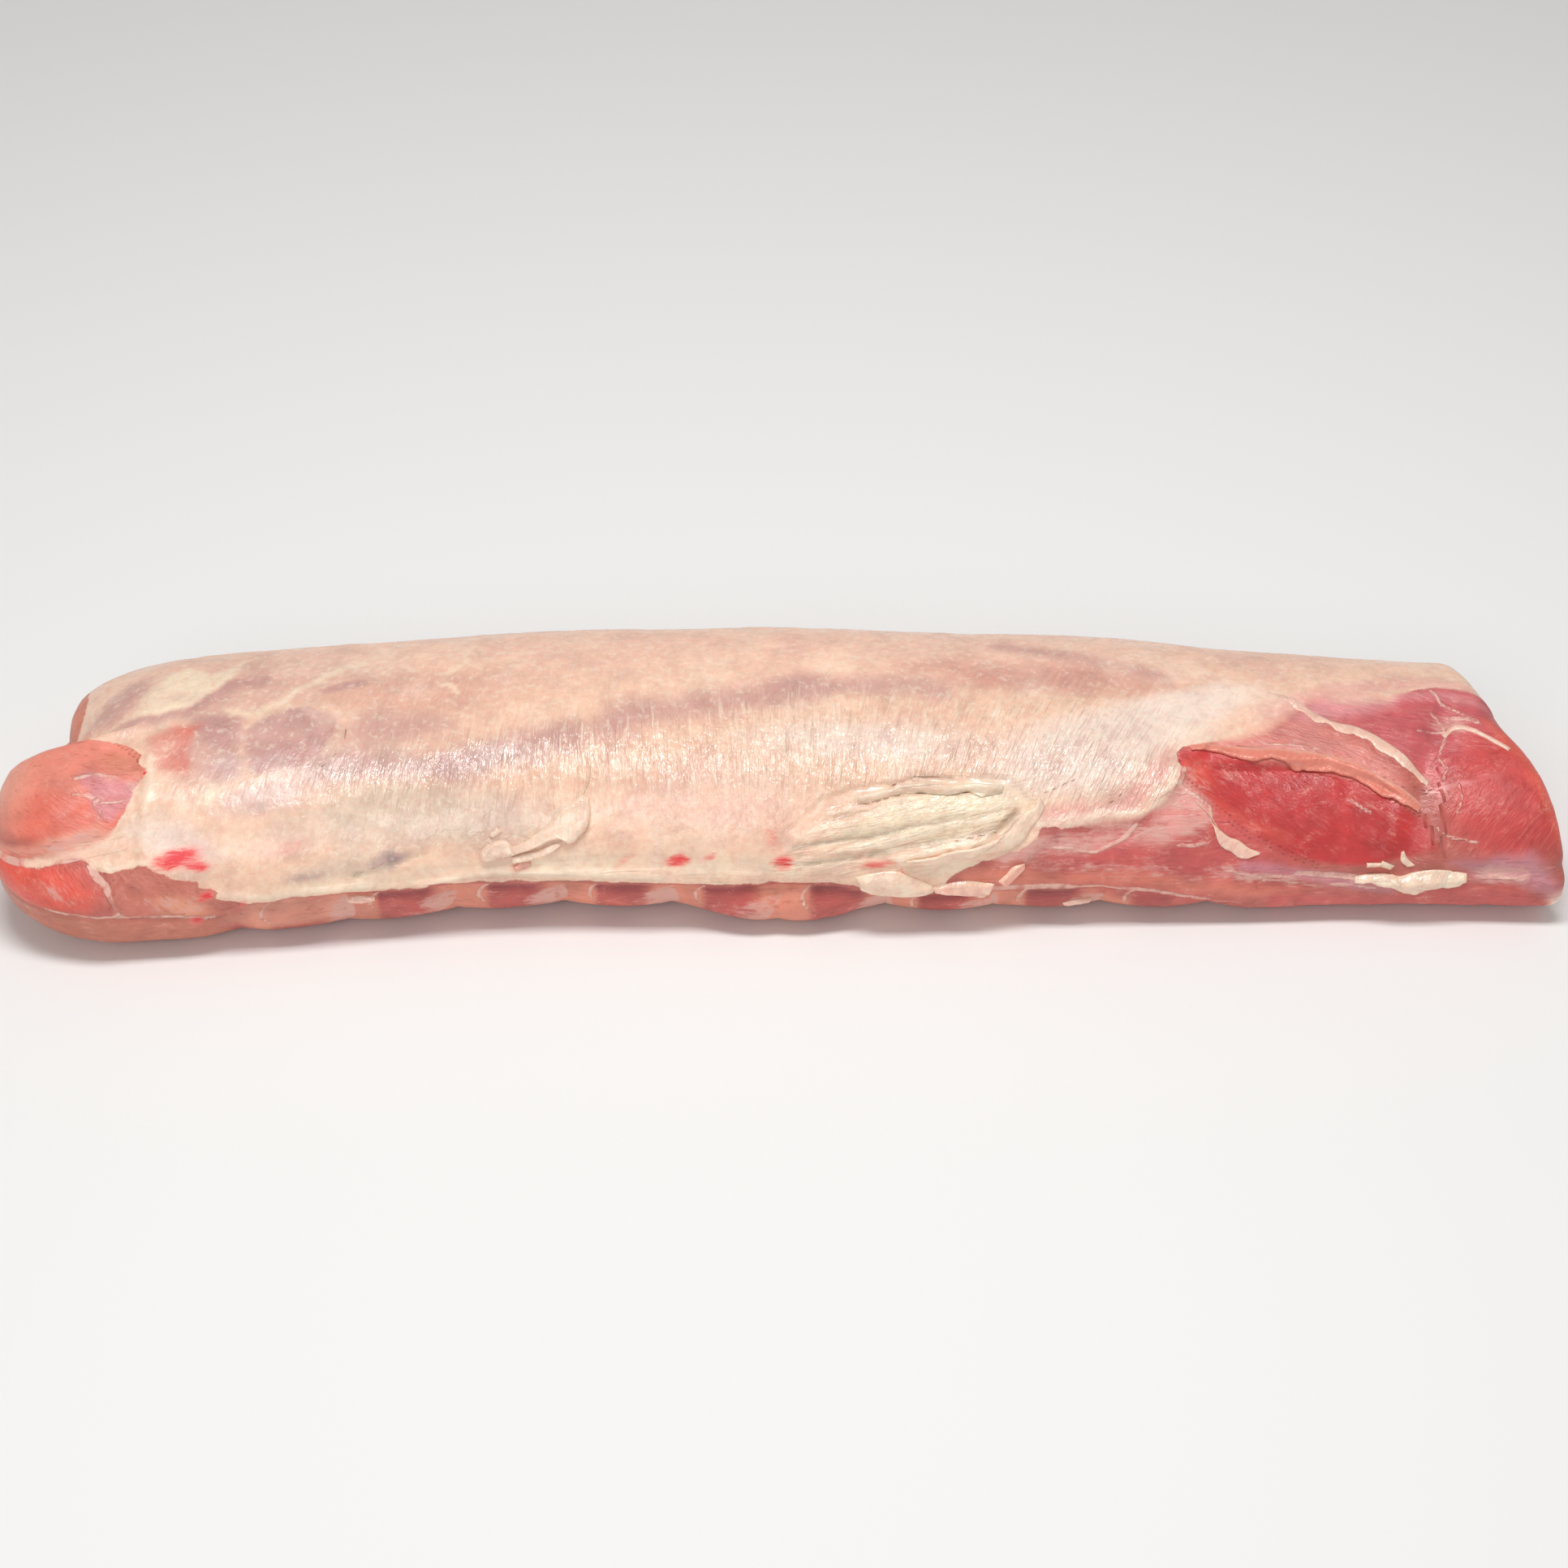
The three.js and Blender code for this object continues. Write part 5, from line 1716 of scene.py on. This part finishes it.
@dataclass(frozen=True)
class LoinSkin:
    """The skin of the whole loin: fat cover, lean, fascia, blood and painted shade in the narrowest creases,
    from what the mesh holds.
    """

    wetness: Wetness = Wetness()
    fascia: Colour = (250, 216, 196)
    fascia_clear: Colour = (236, 178, 166)
    silver: Colour = (228, 176, 164)
    # The colour of the painted shade in the narrowest creases.
    crease_shade: Colour = (176, 120, 98)
    blood: Colour = (240, 36, 50)
    blush: Colour = (255, 158, 142)
    marbling: Colour = (240, 190, 172)
    grain_light: Colour = (244, 150, 134)
    grain_dark: Colour = (160, 48, 46)
    cords: Pattern = Pattern(150.0)
    gaps: Pattern = Pattern(190.0, 4.0)
    blots: Pattern = Pattern((150, 420, 700), 3.0, 0.6, 0.8, (0, -16, 0))
    sinew_share: Pair = (0.3, 0.78)
    crease_shade_share: float = 0.75
    blush_share: float = 0.6
    blood_share: float = 0.95
    sheath_share: float = 0.85
    fat_gloss: Pair = (0.14, -0.14)
    meat_gloss: Pair = (0.5, 0.28)
    fibre_rise: float = 0.7
    sinew_rise: float = 0.25
    crease_sink: float = 0.4
    bump: float = 0.0012

    def build(self, effects: Effects) -> Material:
        """The material.

        Args:
            effects: the shared node groups.

        Returns:
            The finished material.
        """
        material, n = new_material("loin_skin")
        place, flow = n.place(), n.value("flow", "Vector")
        lean = self._mask(n, effects, "lean", 2.4, n.value("soft"), 260.0)
        sinew = self._mask(n, effects, "fascia", 1.1, 0.3, 420.0)
        # Painted shade: the thin dark lines in the narrowest creases.
        crease_shade = self._mask(n, effects, "crease_shade", 0.5, 0.25, 300.0)
        folds = n.group(effects.wrinkles, Place=flow, Amount=n.value("crease"), Grit=n.value("grit"))
        fibres = n.group(effects.fibres, Place=n.value("grain", "Vector"), Amount=n.value("muscle"))
        fat = n.group(effects.mottle, Place=place, Tone=n.value("tone", "Color"),
                      Ridge=folds.outputs["Ridge"], Valley=folds.outputs["Valley"])
        meat = n.blend(self._sheath(n, effects, fibres), self._meat(n, fibres), rgba(self.silver))
        cord = n.blend(n.noise(place, self.cords), rgba(self.fascia), rgba(self.fascia_clear))
        colour = n.blend(lean, fat.outputs["Colour"], meat)
        broken = n.ramp(n.noise(place, self.gaps), 0.38, 0.56, 0.3, 1.0)
        shown = n.times(n.ramp(lean, 0.0, 1.0, *self.sinew_share), broken)
        colour = n.blend(n.times(sinew, shown), colour, cord)
        # Painted shade darkens the narrowest creases.
        colour = n.blend(n.times(crease_shade, self.crease_shade_share), colour, rgba(self.crease_shade))
        colour = n.blend(n.ramp(n.value("stain"), 0.0, 0.7, 0.0, self.blush_share), colour, rgba(self.blush))
        colour = n.blend(n.times(self._stain(n, place), self.blood_share), colour, rgba(self.blood))
        shader = self.wetness.shader(n)
        n.feed(shader.inputs["Base Color"], colour)
        dry = n.plus(fat.outputs["Roughness"], n.ramp(n.value("wet"), 0.0, 1.0, *self.fat_gloss, "LINEAR"))
        glossy = n.ramp(n.value("wet"), 0.0, 0.8, *self.meat_gloss, "LINEAR")
        n.feed(shader.inputs["Roughness"], n.ramp(lean, 0.0, 1.0, dry, glossy, "LINEAR"))
        height = n.add("ShaderNodeMix", data_type="FLOAT")
        fibre_height = n.times(fibres.outputs["Height"], self.fibre_rise)
        for index, value in ((0, lean), (2, folds.outputs["Height"]), (3, fibre_height)):
            n.feed(height.inputs[index], value)
        relief = n.plus(height.outputs[0], n.times(sinew, self.sinew_rise))
        n.bump(shader, n.minus(relief, n.times(crease_shade, self.crease_sink)), 1.0, self.bump)
        return material

    @staticmethod
    def _mask(n: Nodes, effects: Effects, name: str, tear: float, soft: object, scale: float) -> Socket:
        """A mask with a torn border, from a distance that the mesh holds."""
        return n.group(effects.ragged, Place=n.place(), Distance=n.value(name), Raggedness=tear,
                       Softness=soft, Scale=scale).outputs["Mask"]

    def _meat(self, n: Nodes, fibres: Node) -> Socket:
        """The lean's colour with its grain and its fine fat."""
        tone = fibres.outputs["Tone"]
        bright, dim = n.ramp(tone, 0.5, 0.68, 0.0, 0.5), n.value("lean_tone", "Color")
        light = n.blend(bright, dim, rgba(self.grain_light))
        meat = n.blend(n.ramp(tone, 0.49, 0.34, 0.0, 0.42), light, rgba(self.grain_dark))
        return n.blend(n.times(fibres.outputs["Marbling"], 0.5), meat, rgba(self.marbling))

    def _sheath(self, n: Nodes, effects: Effects, fibres: Node) -> Socket:
        """How strongly a thin, streaky membrane covers the lean."""
        torn = self._mask(n, effects, "silver", 1.6, 0.5, 300.0)
        streak = n.times(n.minus(fibres.outputs["Tone"], 0.5), 3.6)
        level = n.plus(n.value("sheath"), streak)
        return n.times(torn, n.ramp(level, 0.25, 0.95, 0.0, self.sheath_share))

    def _stain(self, n: Nodes, place: Socket) -> Socket:
        """How strongly blood covers the skin, in streaks."""
        blot = n.noise(place, self.blots)
        level = n.plus(n.value("stain"), n.times(n.minus(blot, 0.5), 2.0))
        return n.times(n.ramp(level, 0.0, 1.0), n.ramp(n.value("stain"), 0.0, 0.55))


@dataclass(frozen=True)
class TrimFinish:
    """The finish of a loose flap, strand or lump: its tone from the mesh, mottled and wet."""

    name: str
    wetness: Wetness = Wetness(subsurface=0.3, depth=0.002)
    creases: float = 0.35
    grit: float = 0.8
    speckle: float = 1.0
    wet: float = 0.1
    bump: Pair = (0.7, 0.0009)

    def build(self, effects: Effects) -> Material:
        """The material.

        Args:
            effects: the shared node groups.

        Returns:
            The finished material.
        """
        material, n = new_material(self.name)
        tone = n.value("tone", "Color")
        flow = n.value("flow", "Vector")
        folds = n.group(effects.wrinkles, Place=flow, Amount=self.creases, Grit=self.grit)
        fat = n.group(effects.mottle, Place=n.place(), Tone=tone, Ridge=folds.outputs["Ridge"],
                      Valley=folds.outputs["Valley"])
        shader = self.wetness.shader(n)
        n.feed(shader.inputs["Base Color"], n.blend(self.speckle, tone, fat.outputs["Colour"]))
        n.feed(shader.inputs["Roughness"], n.minus(fat.outputs["Roughness"], self.wet))
        n.bump(shader, folds.outputs["Height"], *self.bump)
        return material


# The pieces


@dataclass
class LoinBody:
    """The whole loin as one dense closed surface."""

    form: LoinForm
    paint: SkinPaint
    noise: Noise
    lumps: tuple[Pair, ...] = ((22.0, 0.45), (8.0, 0.28), (4.0, 0.14))
    lump_foot: Span = (-2.0, 7.0)
    stroke_height: float = 0.26
    strokes: tuple[Span, Span, Span, Span] = ((-190, -150), (175, 135), (26, 40), (108, 88))
    clot_height: float = 0.7
    clot_tilt: float = 24.0
    clots: tuple[Span, Span, Span, Span] = ((-84, -68), (46, 22), (3, 8), (46, 26))
    pole_v: float = 60.0
    pole_inset: float = 40.0

    def build(self, skin: Skin, material: Material) -> Piece:
        """Builds and dresses the loin.

        Args:
            skin: the plain surface.
            material: the loin's skin finish.

        Returns:
            The new object.
        """
        grid = self.form.grid(skin)
        position = self._roughened(grid)
        rings, around, _ = position.shape
        first, last = self.form.poles()
        points = np.concatenate([position.reshape(-1, 3), [first, last]])
        points[:, 2] = np.where(points[:, 2] < self.form.rest_depth, 0.0, points[:, 2])
        piece = make_object("loin", points, closed_faces(rings, around))
        face_outwards(piece)
        v = np.append(grid.v.ravel(), [self.pole_v] * 2)
        inset = np.append(grid.inset.ravel(), [self.pole_inset] * 2)
        for name, values in self.paint.paint(points, v, inset).items():
            add_values(piece, name, values)
        join_frame(piece, material)
        return piece

    def _roughened(self, grid: Grid) -> Array:
        """The grid with small random lumps on it, weaker underneath.

        Args:
            grid: the smooth grid.

        Returns:
            The new positions.
        """
        position = grid.position.copy()
        normal = grid_normals(position)
        weight = rise(position[..., 2], self.lump_foot)
        for size, height in self.lumps:
            lump = self.noise(position + size, size, 2) * height * weight
            position = position + normal * lump[..., None]
        return position + normal * self._strokes(grid.position[..., 0], grid.v)[..., None]

    def _strokes(self, x: Array, v: Array) -> Array:
        """Height of the wrinkles round the girth, and of the oblique clots of fat low on the rib side."""
        band, low = (
            math.prod(rise(c, span) for c, span in zip((x, x, v, v), spans))
            for spans in (self.strokes, self.clots)
        )
        strokes = band * self.noise(self.paint.flow(x, v) * (4.0, 1.0, 1.0), 15.0, 2)
        along, across = turned(x, v, self.clot_tilt)
        clots = self.noise(np.stack([along, across * 2.6, 0 * x + 5], -1), 13.0, 3)
        return self.stroke_height * strokes + self.clot_height * low * np.maximum(clots, -0.1)


class Grade(Enum):
    """What a loose piece is made of: its colour in sRGB."""

    PALE = (254, 222, 198)
    ROSY = (246, 170, 152)
    MEAT = (232, 122, 104)
    SINEW = (248, 196, 178)


@dataclass(frozen=True)
class Sheet:
    """A loose flap of fat or meat between a rooted edge and a free edge that lifts off the loin.

    A bulge is a roll or lump without a root: it is thickest in its middle. The bed is how far the underside
    lies in the loin, and the own tone is the share of the grade's colour over the skin's.
    """

    name: str
    grade: Grade
    root: Path
    free: Path
    thickness: float
    lift: float = 0.0
    ragged: float = 0.5
    bulge: bool = False
    steps: int = 90
    facets: int = 16
    root_depth: float = 1.2
    bed: float = 0.6
    own_tone: float = 0.85
    tone_reach: float = 0.5
    end_taper: float = 0.12
    root_share: Span = (0.0, 0.3)
    edge_share: float = 0.72
    tear_size: float = 5.0
    wobble_size: float = 4.0

    def build(self, form: LoinForm, skin: Skin, paint: SkinPaint, material: Material,
              seed: int) -> Piece:
        """Builds the flap on the loin's surface.

        Args:
            form: the loin's form.
            skin: the plain surface.
            paint: the colours of the skin that it grows out of, and the noise that tears its edge.
            material: its finish.
            seed: which tears and wobbles it has.

        Returns:
            The new object.
        """
        noise = paint.noise
        root, free = self._even(self.root), self._even(self.free)
        t = np.linspace(0, 1, self.steps)
        ends = np.sqrt(np.clip(np.minimum(t, 1 - t) / self.end_taper, 0.0, 1.0))
        across = free - root
        width = np.maximum(np.linalg.norm(across, axis=1, keepdims=True), 0.4)
        tear = noise(np.column_stack([free, np.full(self.steps, 9.0 * seed)]), self.tear_size)[:, None]
        free = free + across / width * tear * self.ragged
        top, bottom, places = [], [], []
        for s in np.linspace(0, 1, self.facets + 1):
            place = root + (free - root) * s
            wobble = noise(np.column_stack([place, np.full(self.steps, 3.0 * seed)]), self.wobble_size)
            sunk = 0.0 if self.bulge else self.root_depth * (1 - rise(s, self.root_share))
            level = self.lift * s**1.7 - sunk
            thick = self.thickness * ends * self._profile(s) * (1 + 0.28 * wobble)
            places.append(np.column_stack([place, np.full(self.steps, s)]))
            top.append(form.surface(skin, *place.T, level + thick))
            bottom.append(form.surface(skin, *place.T, level * 0.9 - self.bed))
        points, laid = (
            np.concatenate([rings.reshape(-1, 3), [rings[0].mean(0), rings[-1].mean(0)]])
            for rings in (np.stack(rows, axis=1) for rows in (top + bottom[::-1], places + places[::-1]))
        )
        piece = make_object(self.name, points, closed_faces(self.steps, 2 * len(top)))
        face_outwards(piece)
        own = self.own_tone * (1.0 if self.bulge else smooth(laid[:, 2] / self.tone_reach))
        tone = mixed(paint.fat_tone(points, laid[:, 1]), linear(self.grade.value), own)
        mottle = 1 + 0.12 * noise(points, self.tear_size)[:, None]
        add_values(piece, "tone", np.clip(tone * mottle, 0, 1))
        add_values(piece, "flow", paint.flow(laid[:, 0], laid[:, 1]))
        join_frame(piece, material)
        return piece

    def _profile(self, s: float) -> float:
        """The share of the full thickness at a share of the way from the root to the free edge."""
        if self.bulge:
            return math.sin(math.pi * (0.02 + 0.96 * s)) ** 0.6
        past = max(0.0, s - self.edge_share) / (1 - self.edge_share)
        return rise(s, self.root_share) * (0.55 + 0.45 * s) * math.sqrt(max(0.0, 1 - past**2))

    def _even(self, path: Path) -> Array:
        """Even points along a smooth curve through a path."""
        corners = np.asarray(path, float)
        length = np.concatenate([[0], np.cumsum(np.hypot(*np.diff(corners, axis=0).T))])
        at = np.linspace(0, length[-1], self.steps)
        return np.column_stack([curve_through(length, corners[:, k], at) for k in (0, 1)])


SHEETS: tuple[Sheet, ...] = (
    Sheet("fat_flap", Grade.PALE, ((-108, 18.5), (-103, 19.5), (-99, 22), (-94, 26.5), (-89, 34),
        (-83.5, 35.5), (-79, 38)), ((-104, 15.5), (-100, 16.5), (-95, 18), (-90, 20), (-86, 20.5),
        (-83, 18.8), (-79, 21.5), (-76.5, 24.5), (-75.5, 31), (-76, 36)), 1.5, 1.7),
    Sheet("fat_flap_low", Grade.PALE, ((-106, 14.5), (-101, 16), (-95, 17.5), (-90, 19.5), (-86, 20)),
        ((-105, 11.5), (-101, 12), (-97, 12.6), (-93, 13.8), (-89.5, 15.5), (-86.5, 18)), 1.2, 1.0),
    Sheet("fat_chunk", Grade.PALE, ((-118, 17), (-115, 20.5), (-112, 22), (-108, 22.5), (-105, 19)),
        ((-117, 14), (-114, 12.6), (-110, 13.6), (-107, 14), (-103.5, 15)), 1.8, 0.7, 0.9),
    Sheet("fat_knob", Grade.PALE, ((-114, 23), (-111, 26.5)), ((-112, 22), (-109, 24.5)), 1.2, bulge=True,
        steps=24),
    Sheet("pink_spot", Grade.ROSY, ((-105, 10), (-101, 12), (-98, 12)), ((-104, 8), (-101, 8.5), (-98, 9.5)),
        0.9, bulge=True, steps=30),
    Sheet("fat_strand", Grade.PALE, ((-80.6, 36), (-80.2, 42), (-80.2, 49)), ((-79.8, 36), (-79.5, 42),
        (-79.9, 49)), 0.7, 0.0, 0.2, True, bed=0.3),
    Sheet("fat_strand_short", Grade.PALE, ((-78.6, 37), (-76.4, 43), (-75.6, 49)), ((-77.8, 37), (-75.7, 43),
        (-75.3, 49)), 0.6, 0.0, 0.2, True, bed=0.3),
    Sheet("lip_roll", Grade.PALE, ((26, 4.5), (30, 6), (36, 7.5), (42, 8), (46, 6.5), (51, 4.5), (56, 2)),
        ((28, -0.5), (33, -2.4), (40, -3), (46, -3), (51, -2), (56, 0)), 2.4, 1.4, 0.4, True),
    Sheet("lip_tendon", Grade.SINEW, ((55, 1.5), (60, 3.5), (65, 5), (70, 6), (75, 6), (80, 5)), ((57, -0.6),
        (61, -0.8), (66, -1.2), (71, -2), (76, -2.8), (78, 1.5)), 1.5, 1.4, 0.8),
    Sheet("lip_tag", Grade.ROSY, ((80, 6), (83, 9), (86, 13), (91, 14)), ((84, 3), (86, 5), (88, 8),
        (91, 12)), 1.3, 0.8, 0.6),
    Sheet("torn_strip", Grade.PALE, ((45, 11), (53, 10.4), (60, 11.4), (70, 14), (77, 16.6), (82, 17.4),
        (87, 18.8), (91, 22), (94, 27), (96.5, 31), (99, 35)), ((45, 13.4), (56, 15.6), (64, 18.4),
        (72, 20.6), (78, 22.6), (83, 25.6), (87, 30), (91, 33.6), (94.5, 36), (96, 40)), 1.7, 1.3, 0.8,
        steps=130),
    Sheet("fold_lip", Grade.PALE, ((27, 38), (34, 39), (41, 41.5), (48, 43), (56, 43.5), (64, 43), (70, 44),
        (76, 44.5), (83, 44)), ((26.5, 33.6), (33, 35), (41, 37.6), (46, 38.8), (54, 39.6), (60, 38.6),
        (68, 40.2), (75, 39.2), (82, 40.8)), 0.6, 0.4, 1.1, steps=120, own_tone=0.4),
    Sheet("pocket_flap", Grade.MEAT, ((154, 64.5), (162, 66), (174, 66), (186, 65), (199, 65), (210, 62),
        (220, 58), (228, 53), (234, 49), (241, 44), (245, 40)), ((156, 61), (164, 61.5), (178, 58.5),
        (188, 58.8), (197, 55.5), (206, 54), (215, 52.6), (221, 49.5), (227, 45.5), (234, 41.5), (239, 38.6),
        (243, 36)), 1.0, 1.0, 1.5, steps=200),
    Sheet("strand_upper", Grade.SINEW, ((189, 94.6), (196, 90.6), (202, 86.4), (207, 81.4), (212, 77.6),
        (221, 74.6), (228, 70.2), (233.4, 65.6), (239, 60), (243.6, 54), (247.5, 49)), ((187, 92),
        (195, 86.4), (201, 82), (208, 76), (214, 71.8), (222.6, 68), (229, 62.8), (233, 59), (238.6, 53),
        (243, 50), (247, 47)), 0.6, 0.4, 2.2, True, steps=190, own_tone=0.7),
    Sheet("strand_end", Grade.SINEW, ((255, 71), (260, 75.5), (266, 74), (273, 68.5), (280.5, 61.5)),
        ((256, 69), (260, 72.4), (266, 70.8), (272, 66.2), (279.4, 60)), 0.8, 0.1, 0.3, True),
    Sheet("silver_tag", Grade.SINEW, ((162, 33.4), (166, 30.4), (170, 27.6), (174, 26.4), (178, 23),
        (182, 20.4)), ((163.6, 30), (165, 25), (167, 22), (171, 19.6), (176, 18), (181, 19)), 0.8, 0.5, 1.0),
    Sheet("silver_tag_stem", Grade.SINEW, ((156, 41), (160, 37.6), (163, 33.6), (166, 29)), ((157, 39.6),
        (161, 35.8), (164, 31.4), (167, 27)), 0.7, 0.1, 0.5, True),
    Sheet("fat_lumps", Grade.PALE, ((219, 8.6), (225, 10), (231, 9.8), (236, 8.6), (242, 10.2), (249, 11.2),
        (257, 10.4)), ((219, 6.6), (225, 5.6), (231, 5.2), (236, 1.8), (242, 0.6), (247, 2.4), (254, 3.6)),
        1.9, 0.3, 1.2, True, steps=120),
    Sheet("fat_lumps_fold", Grade.PALE, ((224, 9.4), (230, 9.8), (234, 9.2), (237.5, 6.6)), ((225, 6.8),
        (230, 6.6), (234, 6), (236, 2.6)), 2.7, 0.2, 0.6, True),
    Sheet("fat_lump_end", Grade.PALE, ((251, 7.6), (256, 10), (262, 9)), ((252, 3.4), (257, 3.2),
        (262, 5.4)), 1.1, 0.1, 1.0, True),
    Sheet("fat_dot_a", Grade.PALE, ((223, 15.6), (229, 15.4)), ((223, 13.2), (229, 13.6)), 0.9, bulge=True,
        steps=30),
    Sheet("fat_dot_b", Grade.PALE, ((229, 16.4), (234, 13.6)), ((227.6, 14), (232.4, 11.6)), 0.7, bulge=True,
        steps=30),
    Sheet("fat_dot_c", Grade.PALE, ((237.4, 20), (239, 16.4), (242, 13.4)), ((236, 19.4), (236.4, 15.4),
        (239, 12.4)), 0.9, bulge=True, steps=30),
    Sheet("rib_tag_a", Grade.SINEW, ((106, -6.4), (112, -4.6), (118, -4.6)), ((107, -8.4), (112, -8.4),
        (118, -7)), 1.2, bulge=True, steps=40),
    Sheet("rib_tag_b", Grade.SINEW, ((-170, 0.6), (-165, 1.6), (-158, 1.2)), ((-169, -1.6), (-164, -1.6),
        (-158, -0.8)), 1.1, 0.8, 1.0, True, steps=40),
)


# Floor, lights and camera


@dataclass(frozen=True)
class Softbox:
    """A soft rectangular light."""

    name: str
    place: Triple
    size: Pair
    power: float

    def build(self, target: Vector) -> None:
        """Adds the light, aimed at the target."""
        light = bpy.data.lights.new(self.name, "AREA")
        light.shape = "RECTANGLE"
        light.size, light.size_y = self.size
        light.energy = self.power
        lamp = link(self.name, light)
        lamp.location = self.place
        lamp.rotation_euler = (target - Vector(self.place)).to_track_quat("-Z", "Y").to_euler()


@dataclass(frozen=True)
class Studio:
    """A pale floor, soft lights and the camera at the photograph's angle."""

    floor_size: float = 8.0
    floor_colour: Colour = (244, 243, 241)
    world_strength: float = 0.3
    lights: tuple[Softbox, ...] = (
        Softbox("light_above", (0.0, -0.12, 1.5), (0.8, 0.3), 14.0),
        Softbox("light_front", (-0.4, -1.7, 1.3), (1.2, 0.8), 10.0),
    )
    floor_roughness: float = 0.7
    lens: float = 76.4
    sensor: float = 36.0
    distance: float = 1.316
    elevation: float = 40.0
    target: Triple = (0.0018, -0.0005, 0.0295)

    def build(self) -> None:
        """Adds everything that isn't part of the loin."""
        self._floor()
        self._world()
        for light in self.lights:
            light.build(Vector(self.target))
        self._camera()
        bpy.context.scene.view_settings.view_transform = "Standard"
        bpy.context.scene.view_settings.look = "None"

    def _floor(self) -> None:
        """A plain floor just under the loin."""
        half = self.floor_size / 2
        mesh = bpy.data.meshes.new("floor")
        corners = [(-half, -half, 0), (half, -half, 0), (half, half, 0), (-half, half, 0)]
        mesh.from_pydata(corners, [], [(0, 1, 2, 3)])
        floor = link("floor", mesh)
        material, n = new_material("floor_paper")
        shader = Wetness(subsurface=0.0, specular=0.2).shader(n)
        shader.inputs["Base Color"].default_value = rgba(self.floor_colour)
        shader.inputs["Roughness"].default_value = self.floor_roughness
        floor.data.materials.append(material)

    def _world(self) -> None:
        """Even white light from all round."""
        world = bpy.data.worlds.new("studio")
        world.use_nodes = True
        background = world.node_tree.nodes["Background"]
        background.inputs["Color"].default_value = (1.0, 1.0, 1.0, 1.0)
        background.inputs["Strength"].default_value = self.world_strength
        bpy.context.scene.world = world

    def _camera(self) -> None:
        """The camera at the photograph's viewing angle."""
        data = bpy.data.cameras.new("camera")
        data.lens, data.sensor_width = self.lens, self.sensor
        camera = link("camera", data)
        angle = math.radians(self.elevation)
        offset = Vector((0.0, -math.cos(angle), math.sin(angle))) * self.distance
        camera.location = Vector(self.target) + offset
        camera.rotation_euler = (-offset).to_track_quat("-Z", "Y").to_euler()
        bpy.context.scene.camera = camera


def main() -> None:
    """Builds the loin, its loose pieces and the studio."""
    logging.basicConfig(level=logging.INFO, format="%(message)s")
    effects = Effects()
    form = LoinForm()
    skin = form.skin()
    noise = Noise(seed=11)
    paint = SkinPaint(form.relief, noise)
    body = LoinBody(form, paint, noise).build(skin, LoinSkin().build(effects))
    LOG.info("%s: %d faces", body.name, len(body.data.polygons))
    trim = TrimFinish("trim").build(effects)
    torn_meat = TrimFinish("torn_meat", speckle=0.35).build(effects)
    for seed, sheet in enumerate(SHEETS, start=2):
        piece = sheet.build(form, skin, paint, torn_meat if sheet.grade is Grade.MEAT else trim, seed)
        LOG.info("%s: %d faces", piece.name, len(piece.data.polygons))
    Studio().build()


if __name__ == "__main__":
    main()
